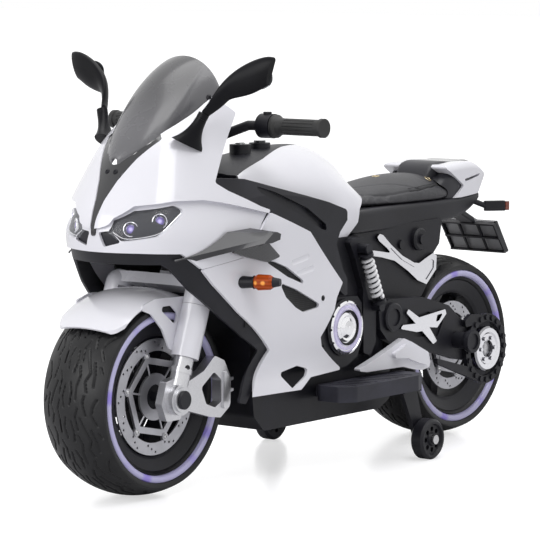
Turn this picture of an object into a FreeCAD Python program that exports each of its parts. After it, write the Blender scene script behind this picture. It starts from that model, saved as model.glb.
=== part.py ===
"""Kids electric sport motorbike: a full-fairing ride-on toy with lit wheels and two stabiliser wheels.

Millimetres. X runs forward, Y to the rider's left and Z up. The origin is on the floor, midway along the bike.
"""

import FreeCAD
import Part
import math
import os

V = FreeCAD.Vector
OUT = "parts"

# Layout
WHEELBASE = 820.0
WHEEL_R = 162.0
FRONT_X = WHEELBASE / 2
REAR_X = -WHEELBASE / 2
RAKE = math.radians(20.0)
TRAIL_OFFSET = 15.0

# Clearances
RUN = 0.06
SLIP = 0.3
SEAM = 0.6

# Road wheels
TYRE_HALF = 64.0
SHOULDER_R = 146.0
SEAT_R = 118.0
GLOW_IN = 124.5
GLOW_OUT = 137.0
GLOW_Y = 54.0
GLOW_THICK = 4.6
RIM_HALF = 52.0
RIM_WALL = 5.0
HUB_R = 28.0
HUB_HALF = 40.0
SPOKES = 5
SPOKE_W = 20.0
SPOKE_T = 24.0
AXLE_R = 8.0

# Brake discs
DISC_R = 94.0
DISC_BAND = 20.0
DISC_T = 2.6
DISC_GAP = 1.0
REAR_DISC_R = 80.0
DISC_HOLE_R = 2.0
HOLE_GROUPS = 12
SPIDER_R = 70.0

# Fork and steering
FORK_Y = 85.0
LEG_R = 13.0
SLEEVE_R = 16.0
SLEEVE_TOP = 84.0
LEG_BOSS_R = 25.0
LEG_INNER_Y = 69.0
LEG_OUTER_Y = 100.0
CROWN_S = 180.0
CROWN_T = 18.0
STEM_R = 14.0
HEAD_S = 256.0
HEAD_LENGTH = 104.0
HEAD_WALL = 5.0
CLAMP_S = 420.0
CAP_R = 15.0
CAP_T = 5.0
FENDER_R = 170.0
FENDER_T = 3.5
FENDER_HALF = 67.0
SHROUD_R = 23.0
SHROUD_WALL = 4.0
SHROUD_LOW = 68.0
SHROUD_TOP = 153.0
SHROUD_CAP = 10.0

# Handlebar
BAR_R = 8.0
BAR_Z = 588.0
BAR_X = 202.0
BAR_END = 222.0
POD_R = 20.0
POD_IN = 96.0
POD_W = 26.0
GRIP_R = 13.5
GRIP_FLANGE_R = 19.0
GRIP_FLANGE_W = 7.0
GRIP_GAP = 1.0
DOME_R = 32.0
DRUM_R = 20.0

# Fairing skin
SKIN = 5.0
BROW_STEP = 9.0
SCOOP_LOW = 392.0
SCOOP_HIGH = 462.0
CHIN_Z = 399.0
X_MID = 240.0
X_TAIL = 10.0

# Footboards and stabilisers
BOARD_IN = 112.0
BOARD_OUT = 180.0
BOARD_TOP = 150.0
BOARD_T = 26.0
BOARD_FRONT = 82.0
BOARD_REAR = -152.0
STAB_R = 35.0
STAB_W = 26.0
STAB_X = -160.0
STAB_Y = 172.0
STAB_BORE = 5.0

# Controls on the console
BUTTON_R = 10.0
BUTTON_TRAVEL = 3.0
BUTTON_X = 88.0
SWITCH_X = 140.0
PAD_Z = 551.0

NODES = {}


# Drawing helpers

def unit(a, b):
    """Unit vector from point a to point b in a plane."""
    d = math.hypot(b[0] - a[0], b[1] - a[1])
    return ((b[0] - a[0]) / d, (b[1] - a[1]) / d), d


def rounded(points, radius, place):
    """Closed wire through plane points with rounded corners; place turns a plane point into a 3-D one."""
    count = len(points)
    cuts = []
    for i, p in enumerate(points):
        (ax, ay), la = unit(p, points[i - 1])
        (bx, by), lb = unit(p, points[(i + 1) % count])
        half = math.acos(max(-1.0, min(1.0, ax * bx + ay * by))) / 2
        reach = min(radius / math.tan(half), 0.45 * min(la, lb)) if half > 1e-3 else 0.0
        r = reach * math.tan(half)
        sx, sy = ax + bx, ay + by
        length = math.hypot(sx, sy)
        if length < 1e-6 or r < 0.05:
            cuts.append((p, None, p))
            continue
        away = r / math.sin(half) - r
        mid = (p[0] + sx / length * away, p[1] + sy / length * away)
        cuts.append(((p[0] + ax * reach, p[1] + ay * reach), mid, (p[0] + bx * reach, p[1] + by * reach)))
    edges = []
    for i, (start, mid, end) in enumerate(cuts):
        if mid is not None:
            edges.append(Part.Arc(place(*start), place(*mid), place(*end)).toShape())
        following = cuts[(i + 1) % count][0]
        if math.hypot(following[0] - end[0], following[1] - end[1]) > 1e-6:
            edges.append(Part.LineSegment(place(*end), place(*following)).toShape())
    return Part.Wire(edges)


def side_panel(points, y0, y1, radius=3.0):
    """Prism with an X-Z outline, from y0 to y1."""
    wire = rounded(points, radius, lambda x, z: V(x, y0, z))
    return Part.Face(wire).extrude(V(0, y1 - y0, 0))


def plan_panel(points, z0, z1, radius=3.0):
    """Prism with an X-Y outline, from z0 to z1."""
    wire = rounded(points, radius, lambda x, y: V(x, y, z0))
    return Part.Face(wire).extrude(V(0, 0, z1 - z0))


def front_panel(points, x0, x1, radius=3.0):
    """Prism with a Y-Z outline, from x0 to x1."""
    wire = rounded(points, radius, lambda y, z: V(x0, y, z))
    return Part.Face(wire).extrude(V(x1 - x0, 0, 0))


def lathe(profile, x, z, turn=360.0):
    """Solid of revolution about the cross axis through (x, z) from a polygon of (radius, y)."""
    points = [V(x + r, y, z) for r, y in profile]
    face = Part.Face(Part.makePolygon(points + points[:1]))
    return face.revolve(V(x, 0, z), V(0, 1, 0), turn)


def cross_rod(x, z, r, y0, y1):
    """Cylinder along Y."""
    return Part.makeCylinder(r, y1 - y0, V(x, y0, z), V(0, 1, 0))


def rod(a, b, r):
    """Cylinder from point a to point b."""
    return Part.makeCylinder(r, (b - a).Length, a, b - a)


def mirrored(shape):
    return shape.mirror(V(0, 0, 0), V(0, 1, 0))


def pair(shape):
    """A piece and its mirror image as two separate solids."""
    return Part.makeCompound([shape, mirrored(shape)])


def fuse(first, *others):
    return first.fuse(list(others)).removeSplitter() if others else first


def loft(wires):
    return Part.makeLoft(wires, True, False)


def box_section(x, half, low, high, r_low, r_high):
    """Rounded four-sided section across the bike at x, mirrored about the middle."""
    def corner(y, z, r, a0):
        arc = Part.Circle(V(x, y, z), V(1, 0, 0), r)
        return [V(x, y + r * math.cos(a), z + r * math.sin(a)) for a in
                (math.radians(a0), math.radians(a0 + 45), math.radians(a0 + 90))]

    corners = [
        corner(half - r_low, low + r_low, r_low, -90),
        corner(half - r_high, high - r_high, r_high, 0),
        corner(-half + r_high, high - r_high, r_high, 90),
        corner(-half + r_low, low + r_low, r_low, 180),
    ]
    edges = []
    for i, (start, mid, end) in enumerate(corners):
        edges.append(Part.Arc(start, mid, end).toShape())
        edges.append(Part.LineSegment(end, corners[(i + 1) % 4][0]).toShape())
    return Part.Wire(edges)


def keep(name, shape):
    NODES[name] = shape


# Road wheels

def tyre(x):
    """Wide slick-shouldered tyre with a groove for a light ring in each wall."""
    def at(r, y):
        return V(x + r, y, WHEEL_R)

    bead = SEAT_R + RUN * 2
    crown = Part.Arc(at(SHOULDER_R, TYRE_HALF), at(WHEEL_R, 0), at(SHOULDER_R, -TYRE_HALF)).toShape()
    wall = [
        (SHOULDER_R, -TYRE_HALF),
        (GLOW_OUT + 1.5, -TYRE_HALF + 1),
        (GLOW_IN - 1.5, -GLOW_Y - GLOW_THICK + 1),
        (bead, -RIM_HALF),
    ]
    left = [(r, -y) for r, y in reversed(wall)]
    walls = Part.makePolygon([at(r, y) for r, y in wall + left])
    solid = Part.Face(Part.Wire([crown] + walls.Edges)).revolve(V(x, 0, WHEEL_R), V(0, 1, 0), 360)
    groove = lathe([(GLOW_IN, GLOW_Y), (GLOW_OUT, GLOW_Y), (GLOW_OUT, TYRE_HALF + 5), (GLOW_IN, TYRE_HALF + 5)],
                   x, WHEEL_R)
    return solid.cut(groove).cut(mirrored(groove))


def glow_rings(x):
    """Two light rings, one seated in each wall of the tyre."""
    low, high = GLOW_IN + SLIP, GLOW_OUT - SLIP
    crest = (low + high) / 2
    ring = lathe([(low, GLOW_Y), (high, GLOW_Y), (high, GLOW_Y + GLOW_THICK - 1), (crest, GLOW_Y + GLOW_THICK),
                  (low, GLOW_Y + GLOW_THICK - 1)], x, WHEEL_R)
    return pair(ring)


def rim(x):
    """Dished rim with a barrel, conical lips, spokes and a bored hub."""
    lip = SEAT_R - 18
    profile = [(SEAT_R, -RIM_HALF), (SEAT_R, RIM_HALF), (lip, RIM_HALF - 8), (lip - RIM_WALL, RIM_HALF - 12),
               (lip - RIM_WALL, -RIM_HALF + 12), (lip, -RIM_HALF + 8)]
    barrel = lathe(profile, x, WHEEL_R)
    hollow = lathe([(0.1, -RIM_HALF), (lip, -RIM_HALF), (lip - RIM_WALL, -RIM_HALF + 12),
                    (lip - RIM_WALL, RIM_HALF - 12), (lip, RIM_HALF), (0.1, RIM_HALF)], x, WHEEL_R)
    ring = barrel.cut(hollow)
    hub = cross_rod(x, WHEEL_R, HUB_R, -HUB_HALF, HUB_HALF)
    length = lip - RIM_WALL + 2
    spoke = plan_panel([(x + HUB_R - 6, -SPOKE_T / 2), (x + length, -SPOKE_T / 2 + 4),
                        (x + length, SPOKE_T / 2 - 4), (x + HUB_R - 6, SPOKE_T / 2)],
                       WHEEL_R - SPOKE_W / 2, WHEEL_R + SPOKE_W / 2, 2)
    spokes = []
    for i in range(SPOKES):
        arm = spoke.copy()
        arm.rotate(V(x, 0, WHEEL_R), V(0, 1, 0), 90 + i * 360 / SPOKES)
        spokes.append(arm)
    return fuse(ring, hub, *spokes).cut(cross_rod(x, WHEEL_R, AXLE_R + RUN, -RIM_HALF, RIM_HALF))


def disc_holes(x, y, outer):
    """Drillings in slanted rows of three round the disc's band."""
    holes = []
    for group in range(HOLE_GROUPS):
        for row in range(3):
            angle = math.radians(group * 360 / HOLE_GROUPS + row * 6.5)
            r = outer - DISC_BAND * (0.25 + 0.25 * row)
            centre = V(x + r * math.cos(angle), y - 1, WHEEL_R + r * math.sin(angle))
            holes.append(Part.makeCylinder(DISC_HOLE_R, DISC_T + 2, centre, V(0, 1, 0)))
    return Part.makeCompound(holes)


def brake_disc(x, outer):
    """Drilled disc on a six-armed spider that sits on the hub's end."""
    y = HUB_HALF
    face = y + DISC_GAP
    band = cross_rod(x, WHEEL_R, outer, face, face + DISC_T).cut(
        cross_rod(x, WHEEL_R, outer - DISC_BAND, face - 1, face + DISC_T + 1))
    band = band.cut(disc_holes(x, face, outer))
    reach = outer - DISC_BAND - 4
    corners = [(x + reach * math.cos(math.radians(60 * i + 12)), WHEEL_R + reach * math.sin(math.radians(60 * i + 12)))
               for i in range(6)]
    inner = [(x + (cx - x) * 0.83, WHEEL_R + (cz - WHEEL_R) * 0.83) for cx, cz in corners]
    spider = side_panel(corners, y, face + DISC_T + 1, 5).cut(side_panel(inner, y - 1, face + DISC_T + 3, 4))
    ring = cross_rod(x, WHEEL_R, HUB_R + 10, y, face + DISC_T).cut(
        cross_rod(x, WHEEL_R, HUB_R - 8, y - 1, face + DISC_T + 1))
    parts = [spider, ring]
    for cx, cz in corners:
        ux, uz = (cx - x) / reach, (cz - WHEEL_R) / reach
        parts.append(cross_rod(cx, cz, 6.5, y, face + DISC_T + 2))
        inner_end = V(x + ux * (HUB_R + 6), y + 1.8, WHEEL_R + uz * (HUB_R + 6))
        outer_end = V(x + ux * (outer - DISC_BAND + 3), y + 1.8, WHEEL_R + uz * (outer - DISC_BAND + 3))
        parts.append(rod(inner_end, outer_end, 1.7))
    return fuse(band, *parts)


def build_wheels():
    for name, x in (("front", FRONT_X), ("rear", REAR_X)):
        keep(name + "_tyre", tyre(x))
        keep(name + "_rim", rim(x))
        keep(name + "_light_rings", glow_rings(x))
    keep("front_discs", pair(brake_disc(FRONT_X, DISC_R)))
    keep("rear_disc", brake_disc(REAR_X, REAR_DISC_R))


# Steering assembly

UP = V(-math.sin(RAKE), 0, math.cos(RAKE))
AHEAD = V(math.cos(RAKE), 0, math.sin(RAKE))


def fork_point(s, y=FORK_Y):
    """Point on a fork leg's centre line, s up from the axle."""
    return V(FRONT_X, y, WHEEL_R) + UP * s


def steer_point(s):
    """Point on the steering axis, level with s on the legs."""
    return V(FRONT_X, 0, WHEEL_R) - AHEAD * TRAIL_OFFSET + UP * s


def fork_leg():
    """Cast lower leg: axle boss, sleeve, front lug and a windowed caliper that reaches behind the axle."""
    sleeve = rod(fork_point(8), fork_point(SLEEVE_TOP), SLEEVE_R)
    collar = rod(fork_point(42), fork_point(50), SLEEVE_R + 1.5)
    boss = cross_rod(FRONT_X, WHEEL_R, LEG_BOSS_R, LEG_INNER_Y + 3, LEG_OUTER_Y)
    nose = cross_rod(FRONT_X, WHEEL_R, CAP_R + 5, LEG_OUTER_Y - 1, LEG_OUTER_Y + 3)
    lug = side_panel([(FRONT_X - 12, WHEEL_R + 36), (FRONT_X + 22, WHEEL_R + 30), (FRONT_X + 34, WHEEL_R - 6),
                      (FRONT_X + 22, WHEEL_R - 34), (FRONT_X - 14, WHEEL_R - 34)], LEG_INNER_Y + 3, LEG_OUTER_Y - 14, 5)
    frame = side_panel([(FRONT_X - 8, WHEEL_R + 24), (FRONT_X - 56, WHEEL_R + 40), (FRONT_X - 84, WHEEL_R + 62),
                        (FRONT_X - 108, WHEEL_R + 52), (FRONT_X - 124, WHEEL_R + 24), (FRONT_X - 122, WHEEL_R - 24),
                        (FRONT_X - 98, WHEEL_R - 40), (FRONT_X - 72, WHEEL_R - 36), (FRONT_X - 10, WHEEL_R - 18)],
                       LEG_OUTER_Y - 20, LEG_OUTER_Y - 2, 6)
    window = side_panel([(FRONT_X - 50, WHEEL_R + 14), (FRONT_X - 82, WHEEL_R + 36), (FRONT_X - 100, WHEEL_R + 22),
                         (FRONT_X - 100, WHEEL_R - 14), (FRONT_X - 84, WHEEL_R - 22), (FRONT_X - 62, WHEEL_R - 14)],
                        LEG_OUTER_Y - 25, LEG_OUTER_Y + 2, 6)
    body = side_panel([(FRONT_X - 104, WHEEL_R + 40), (FRONT_X - 120, WHEEL_R + 22), (FRONT_X - 118, WHEEL_R - 20),
                       (FRONT_X - 102, WHEEL_R - 28)], LEG_OUTER_Y - 24, LEG_OUTER_Y + 2, 3)
    fins = [side_panel([(FRONT_X - 116, z), (FRONT_X - 136, z + 3), (FRONT_X - 136, z + 8), (FRONT_X - 116, z + 6)],
                       LEG_OUTER_Y - 16, LEG_OUTER_Y - 6, 1) for z in (WHEEL_R - 4, WHEEL_R + 14)]
    leg = fuse(sleeve, collar, boss, nose, lug, frame.cut(window), body, *fins)
    return leg.cut(cross_rod(FRONT_X, WHEEL_R, AXLE_R + RUN, 0, LEG_OUTER_Y + 10))


def steering_stem():
    """Crown casting with a dome over each fork tube, and the steering tube in its middle."""
    crown_mid = steer_point(CROWN_S + CROWN_T / 2)
    crown = plan_panel([(0, -FORK_Y - 8), (28, -FORK_Y - 8), (34, -40), (34, 40), (28, FORK_Y + 8),
                        (0, FORK_Y + 8), (-20, 30), (-20, -30)], -CROWN_T / 2, CROWN_T / 2, 8)
    crown.rotate(V(0, 0, 0), V(0, 1, 0), -math.degrees(RAKE))
    crown.translate(crown_mid)
    tubes = [rod(fork_point(SLEEVE_TOP + SLIP, y), fork_point(CROWN_S + CROWN_T, y), LEG_R) for y in (FORK_Y, -FORK_Y)]
    stem = rod(steer_point(CROWN_S), steer_point(CLAMP_S - 4), STEM_R)
    over = FENDER_HALF + FENDER_T + SLIP
    fender_room = cross_rod(FRONT_X, WHEEL_R, FENDER_R + FENDER_T + SLIP, -over, over)
    domes = []
    for y in (FORK_Y, -FORK_Y):
        domes.append(rod(fork_point(SHROUD_TOP + SEAM, y), fork_point(CROWN_S, y), SHROUD_R).cut(fender_room))
        domes.append(Part.makeSphere(SHROUD_R, fork_point(CROWN_S, y)).cut(fender_room))
    return fuse(crown, stem, *tubes, *domes)


def front_fender():
    """Fender over the tyre, with a windowed stay and a fork shroud on each side."""
    def at(r, y):
        return V(FRONT_X, y, WHEEL_R + r)

    drop = 13.0
    outer = FENDER_R + FENDER_T
    arcs = [
        Part.Arc(at(FENDER_R - drop, -FENDER_HALF), at(FENDER_R, 0), at(FENDER_R - drop, FENDER_HALF)).toShape(),
        Part.LineSegment(at(FENDER_R - drop, FENDER_HALF), at(outer - drop, FENDER_HALF + FENDER_T)).toShape(),
        Part.Arc(at(outer - drop, FENDER_HALF + FENDER_T), at(outer, 0), at(outer - drop, -FENDER_HALF - FENDER_T)).toShape(),
        Part.LineSegment(at(outer - drop, -FENDER_HALF - FENDER_T), at(FENDER_R - drop, -FENDER_HALF)).toShape(),
    ]
    section = Part.Face(Part.Wire(arcs))
    rear_span, front_span = 36.0, 46.0
    shell = section.copy()
    shell.rotate(V(FRONT_X, 0, WHEEL_R), V(0, 1, 0), -rear_span)
    shell = shell.revolve(V(FRONT_X, 0, WHEEL_R), V(0, 1, 0), rear_span + front_span)
    tip = plan_panel([(FRONT_X + 60, -90), (FRONT_X + 112, -60), (FRONT_X + 138, -18), (FRONT_X + 138, 18),
                      (FRONT_X + 112, 60), (FRONT_X + 60, 90), (FRONT_X - 200, 90), (FRONT_X - 200, -90)], 0, 500, 20)
    shell = shell.common(tip)
    stay = side_panel([(FRONT_X + 74, WHEEL_R + 150), (FRONT_X + 40, WHEEL_R + 138), (FRONT_X + 14, WHEEL_R + 112),
                       (FRONT_X - 4, WHEEL_R + 78), (FRONT_X - 18, WHEEL_R + 74), (FRONT_X - 40, WHEEL_R + 84),
                       (FRONT_X - 72, WHEEL_R + 146), (FRONT_X - 40, WHEEL_R + 160), (FRONT_X + 30, WHEEL_R + 162)],
                      FENDER_HALF, FENDER_HALF + FENDER_T, 8)
    window = side_panel([(FRONT_X + 24, WHEEL_R + 148), (FRONT_X - 8, WHEEL_R + 148), (FRONT_X - 24, WHEEL_R + 134),
                         (FRONT_X - 18, WHEEL_R + 116)], FENDER_HALF - 2, FENDER_HALF + 20, 5)
    low, high = fork_point(SHROUD_LOW), fork_point(SHROUD_TOP)
    shroud = rod(low, high, SHROUD_R)
    bore = rod(fork_point(SHROUD_LOW - 5), fork_point(SHROUD_TOP + 5), LEG_R + SLIP)
    relief = rod(fork_point(SHROUD_LOW - 5), fork_point(SHROUD_TOP - SHROUD_CAP), SHROUD_R - SHROUD_WALL)
    inner_cut = Part.makeBox(600, FENDER_HALF, 400, V(FRONT_X - 300, 0, WHEEL_R))
    leg_room = rod(fork_point(0), fork_point(SLEEVE_TOP + 2), SLEEVE_R + SEAM)
    side = fuse(shroud, stay.cut(window)).cut(bore).cut(relief).cut(inner_cut).cut(leg_room)
    return fuse(shell, side, mirrored(side))


def handlebar():
    """Bent bar with a domed middle cover, a clamp on the stem and a switch pod for each grip."""
    clamp = rod(steer_point(CLAMP_S - 30), steer_point(CLAMP_S + 6), STEM_R + 8)
    top = steer_point(CLAMP_S + 8)
    dome = Part.makeSphere(DOME_R, top + V(-14, 0, 8)).cut(
        Part.makeBox(200, 200, 100, top + V(-114, -100, -110)))
    pieces = [clamp, dome]
    for side in (1, -1):
        knee = V(BAR_X + 8, side * 74, BAR_Z)
        corner = V(BAR_X, side * 92, BAR_Z)
        pieces.append(rod(top + V(-10, side * 10, 2), knee, BAR_R))
        pieces.append(Part.makeSphere(BAR_R, knee))
        pieces.append(rod(knee, corner, BAR_R))
        pieces.append(Part.makeSphere(BAR_R, corner))
        pieces.append(rod(corner, V(BAR_X, side * (BAR_END - 3), BAR_Z), BAR_R))
        inner, outer = sorted((side * POD_IN, side * (POD_IN + POD_W)))
        pieces.append(cross_rod(BAR_X, BAR_Z, POD_R, inner, outer))
        thumb = rod(V(BAR_X + 2, side * (POD_IN + POD_W / 2), BAR_Z + POD_R - 3),
                    V(BAR_X + 2, side * (POD_IN + POD_W / 2), BAR_Z + POD_R + 3), 7)
        pieces.append(thumb)
        foot = V(BAR_X + 18, side * 70, BAR_Z - 31)
        pieces.append(Part.makeCone(DRUM_R - 5, DRUM_R, 6, foot, UP))
        pieces.append(Part.makeCylinder(DRUM_R, 24, foot + UP * 6, UP))
        pieces.append(Part.makeSphere(DRUM_R, foot + UP * 30))
    bar = fuse(pieces[0], *pieces[1:])
    return bar.cut(rod(steer_point(CLAMP_S - 60), steer_point(CLAMP_S - 4 + SLIP), STEM_R + RUN))


def grip():
    """Ribbed left grip with a thumb flange and a closed end."""
    start = POD_IN + POD_W + GRIP_GAP
    profile = [(0.0, start), (GRIP_FLANGE_R, start), (GRIP_FLANGE_R, start + GRIP_FLANGE_W - 2),
               (GRIP_R + 2, start + GRIP_FLANGE_W + 3), (GRIP_R, start + GRIP_FLANGE_W + 10), (GRIP_R, BAR_END - 6),
               (GRIP_R + 2, BAR_END - 5), (GRIP_R + 2, BAR_END + 2), (0.0, BAR_END + 2)]
    body = lathe(profile, BAR_X, BAR_Z)
    body = body.cut(cross_rod(BAR_X, BAR_Z, BAR_R + RUN, start - 5, BAR_END - 3 + SLIP))
    groove_r, flutes = 2.0, 14
    for i in range(flutes):
        angle = 2 * math.pi * i / flutes
        centre = V(BAR_X + (GRIP_R + 1) * math.cos(angle), start + 24, BAR_Z + (GRIP_R + 1) * math.sin(angle))
        body = body.cut(Part.makeCylinder(groove_r, BAR_END - 14 - start - 24, centre, V(0, 1, 0)))
    return body


def build_steering():
    leg = fork_leg()
    keep("fork_legs", pair(leg))
    keep("steering_stem", steering_stem())
    keep("front_fender", front_fender())
    keep("handlebar", handlebar())
    keep("left_grip", grip())
    keep("throttle_grip", mirrored(grip()))
    end = LEG_OUTER_Y + 3
    cap = lathe([(0, end), (CAP_R, end), (CAP_R, end + CAP_T - 2), (CAP_R - 2, end + CAP_T), (0, end + CAP_T)],
                FRONT_X, WHEEL_R)
    keep("front_axle", fuse(cross_rod(FRONT_X, WHEEL_R, AXLE_R, -end, end), cap, mirrored(cap)))


# Fairing

HULL_LEVELS = [
    # height, nose, half width amidships, half width at the tail
    (120, 425, 116, 112),
    (180, 445, 128, 122),
    (240, 460, 141, 134),
    (320, 480, 148, 140),
    (385, 498, 148, 141),
    (430, 511, 150, 142),
    (470, 498, 143, 135),
    (510, 474, 129, 121),
    (545, 452, 115, 110),
    (570, 429, 107, 104),
    (592, 397, 102, 100),
    (613, 362, 97, 96),
    (645, 316, 92, 92),
]
BOW = [(0.36, 0.045), (0.66, 0.155), (0.83, 0.32), (0.94, 0.58), (1.0, 1.0)]


def waterline(z, nose, half, tail, inset):
    """Level section of the fairing: a blunt bow that widens to the middle and narrows a little to the tail."""
    nose, half, tail = nose - inset, half - inset, tail - inset
    left = [V(nose - (nose - X_MID) * back, half * out, z) for out, back in BOW]
    left.append(V((X_MID + X_TAIL) / 2, (half * 0.6 + tail * 0.4), z))
    left.append(V(X_TAIL, tail, z))
    right = [V(p.x, -p.y, p.z) for p in reversed(left)]
    curve = Part.BSplineCurve()
    curve.interpolate(right + [V(nose, 0, z)] + left)
    return Part.Wire([curve.toShape(), Part.LineSegment(left[-1], right[0]).toShape()])


def scoop(z):
    """Share of the brow's depth by which the cowl is drawn in at a height."""
    return max(0.0, min(1.0, (z - SCOOP_LOW) / (SCOOP_HIGH - SCOOP_LOW)))


def hull(inset, overshoot=0.0, step=0.0):
    """Whole fairing body, drawn in all over by inset and under the brow by step."""
    levels = [list(level) for level in HULL_LEVELS]
    levels[0][0] -= overshoot
    levels[-1][0] += overshoot
    return loft([waterline(*level, inset + step * scoop(level[0])) for level in levels])


def skin(inset, step=0.0):
    """Thin fairing wall whose outer face lies inset inside the full hull."""
    cavity = hull(inset + SKIN, 10, step)
    return hull(inset, 0.0, step).cut(cavity).cut(Part.makeBox(SKIN + 4, 400, 700, V(X_TAIL - 1, -200, 0)))


HEADLAMP = [(502, 434), (495, 450), (476, 465), (430, 473), (417, 465), (425, 455), (462, 426), (496, 417)]
LAMP_POCKET = [(9, 431), (32, 434), (48, 416), (18, 408)]
BROW_LINE = [(545, 431), (511, 436), (505, 444), (500, 454), (480, 473), (436, 480), (387, 480), (350, 474), (313, 466),
             (270, 456), (248, 451)]
BROW_LAP = 4.0
COWL_SEAM = [(262, 436), (272, 424), (292, 398), (310, 384), (395, 371)]


GILL_R = 8.0
GILLS = [(V(184, 153.4, 366), V(144, 151.8, 372)), (V(170, 153.2, 347), V(130, 150.9, 352))]


def brow_region():
    """Outline of the cowl above the brow line, in side view."""
    return BROW_LINE + [(243, 456), (265, 463), (297, 477), (330, 491), (353, 505), (268, 612), (306, 640), (420, 655),
                        (545, 655)]


def lower_region():
    """Outline of the cowl's lower band, from under the brow to the intake and back to the side panel."""
    under = [(x, z + BROW_LAP) for x, z in BROW_LINE]
    return under + [(243, 453)] + COWL_SEAM + [(414, CHIN_Z - 14), (430, CHIN_Z - 2), (484, CHIN_Z), (545, CHIN_Z)]


def side_region():
    """Outline of a side fairing panel in side view."""
    seam = [(x - SEAM, z - SEAM) for x, z in reversed(COWL_SEAM)]
    return seam + [(243 - SEAM, 452 - SEAM), (139, 413), (42, 321), (59, 297), (65, 277), (95, 234), (85, 217), (20, 171),
                   (112, 168), (175, 135), (283, 138), (233, 227), (283, 268), (320, 296), (370, 343)]


TRIM_STOPS = [(425, 3.5), (450, 4.5), (480, 9.0), (510, 19.0), (545, 37.0), (574, 56.0)]


def trim_outline(grow):
    """Front-view outline of the dark trim that runs up the nose and forks round the screen's foot."""
    right = [(-half - grow, z) for z, half in TRIM_STOPS]
    left = [(half + grow, z) for z, half in reversed(TRIM_STOPS)]
    return right + [(-30, 600 + grow), (30, 600 + grow)] + left


SCREEN = [
    # station, middle height, half width, edge height
    (456, 547, 8, 542),
    (440, 573, 27, 555),
    (419, 600, 41, 568),
    (375, 646, 56, 592),
    (340, 674, 65, 613),
    (306, 694, 72, 636),
    (286, 702, 75, 655),
]
SCREEN_WALL = 3.0
SCREEN_LEG = 14.0
SCREEN_GAP = 1.5
LEDGE = 3.0


def screen_section(x, top, half, edge):
    """Arched section whose legs reach down past the edge, to be trimmed on the cowl's ledge."""
    outer = [V(x, -half, edge), V(x, 0, top), V(x, half, edge)]
    inner = [V(x, half - SCREEN_WALL, edge), V(x, 0, top - SCREEN_WALL), V(x, -half + SCREEN_WALL, edge)]
    feet = [V(p.x, p.y, p.z - SCREEN_LEG) for p in (outer[2], inner[0], inner[2], outer[0])]
    return Part.Wire([
        Part.Arc(*outer).toShape(),
        Part.makePolygon([outer[2], feet[0], feet[1], inner[0]]),
        Part.Arc(*inner).toShape(),
        Part.makePolygon([inner[2], feet[2], feet[3], outer[0]]),
    ])


def screen_ledge():
    """Sunken rim round the cowl's opening that the screen stands on."""
    band = screen_opening(SCREEN_GAP + 2).cut(screen_opening(-9))
    return hull(LEDGE).cut(hull(LEDGE + SKIN, 10)).common(band)


def screen_opening(gap):
    """Upright prism of the screen's plan, grown by a gap, that clears the cowl and trim for it."""
    left = [(x, half + gap) for x, top, half, edge in SCREEN]
    right = [(x, -half - gap) for x, top, half, edge in reversed(SCREEN)]
    nose_x = SCREEN[0][0] + gap
    tail_x = SCREEN[-1][0] - 60
    return plan_panel([(nose_x, 0)] + left + [(tail_x, left[-1][1]), (tail_x, -left[-1][1])] + right, 500, 760, 1)


def headlamp_bucket():
    """Bowl behind a lens, on the hull's curve, with a dark pocket towards the nose."""
    back = SKIN + SLIP
    wall = hull(back, 0.0, BROW_STEP).cut(hull(back + 10, 10, BROW_STEP))
    lamp = wall.common(side_panel(shrink(HEADLAMP, 1.08), 24, 200, 6))
    pocket = wall.common(front_panel(shrink(LAMP_POCKET, 1.15), 440, 560, 3))
    return largest(fuse(lamp, pocket))


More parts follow.
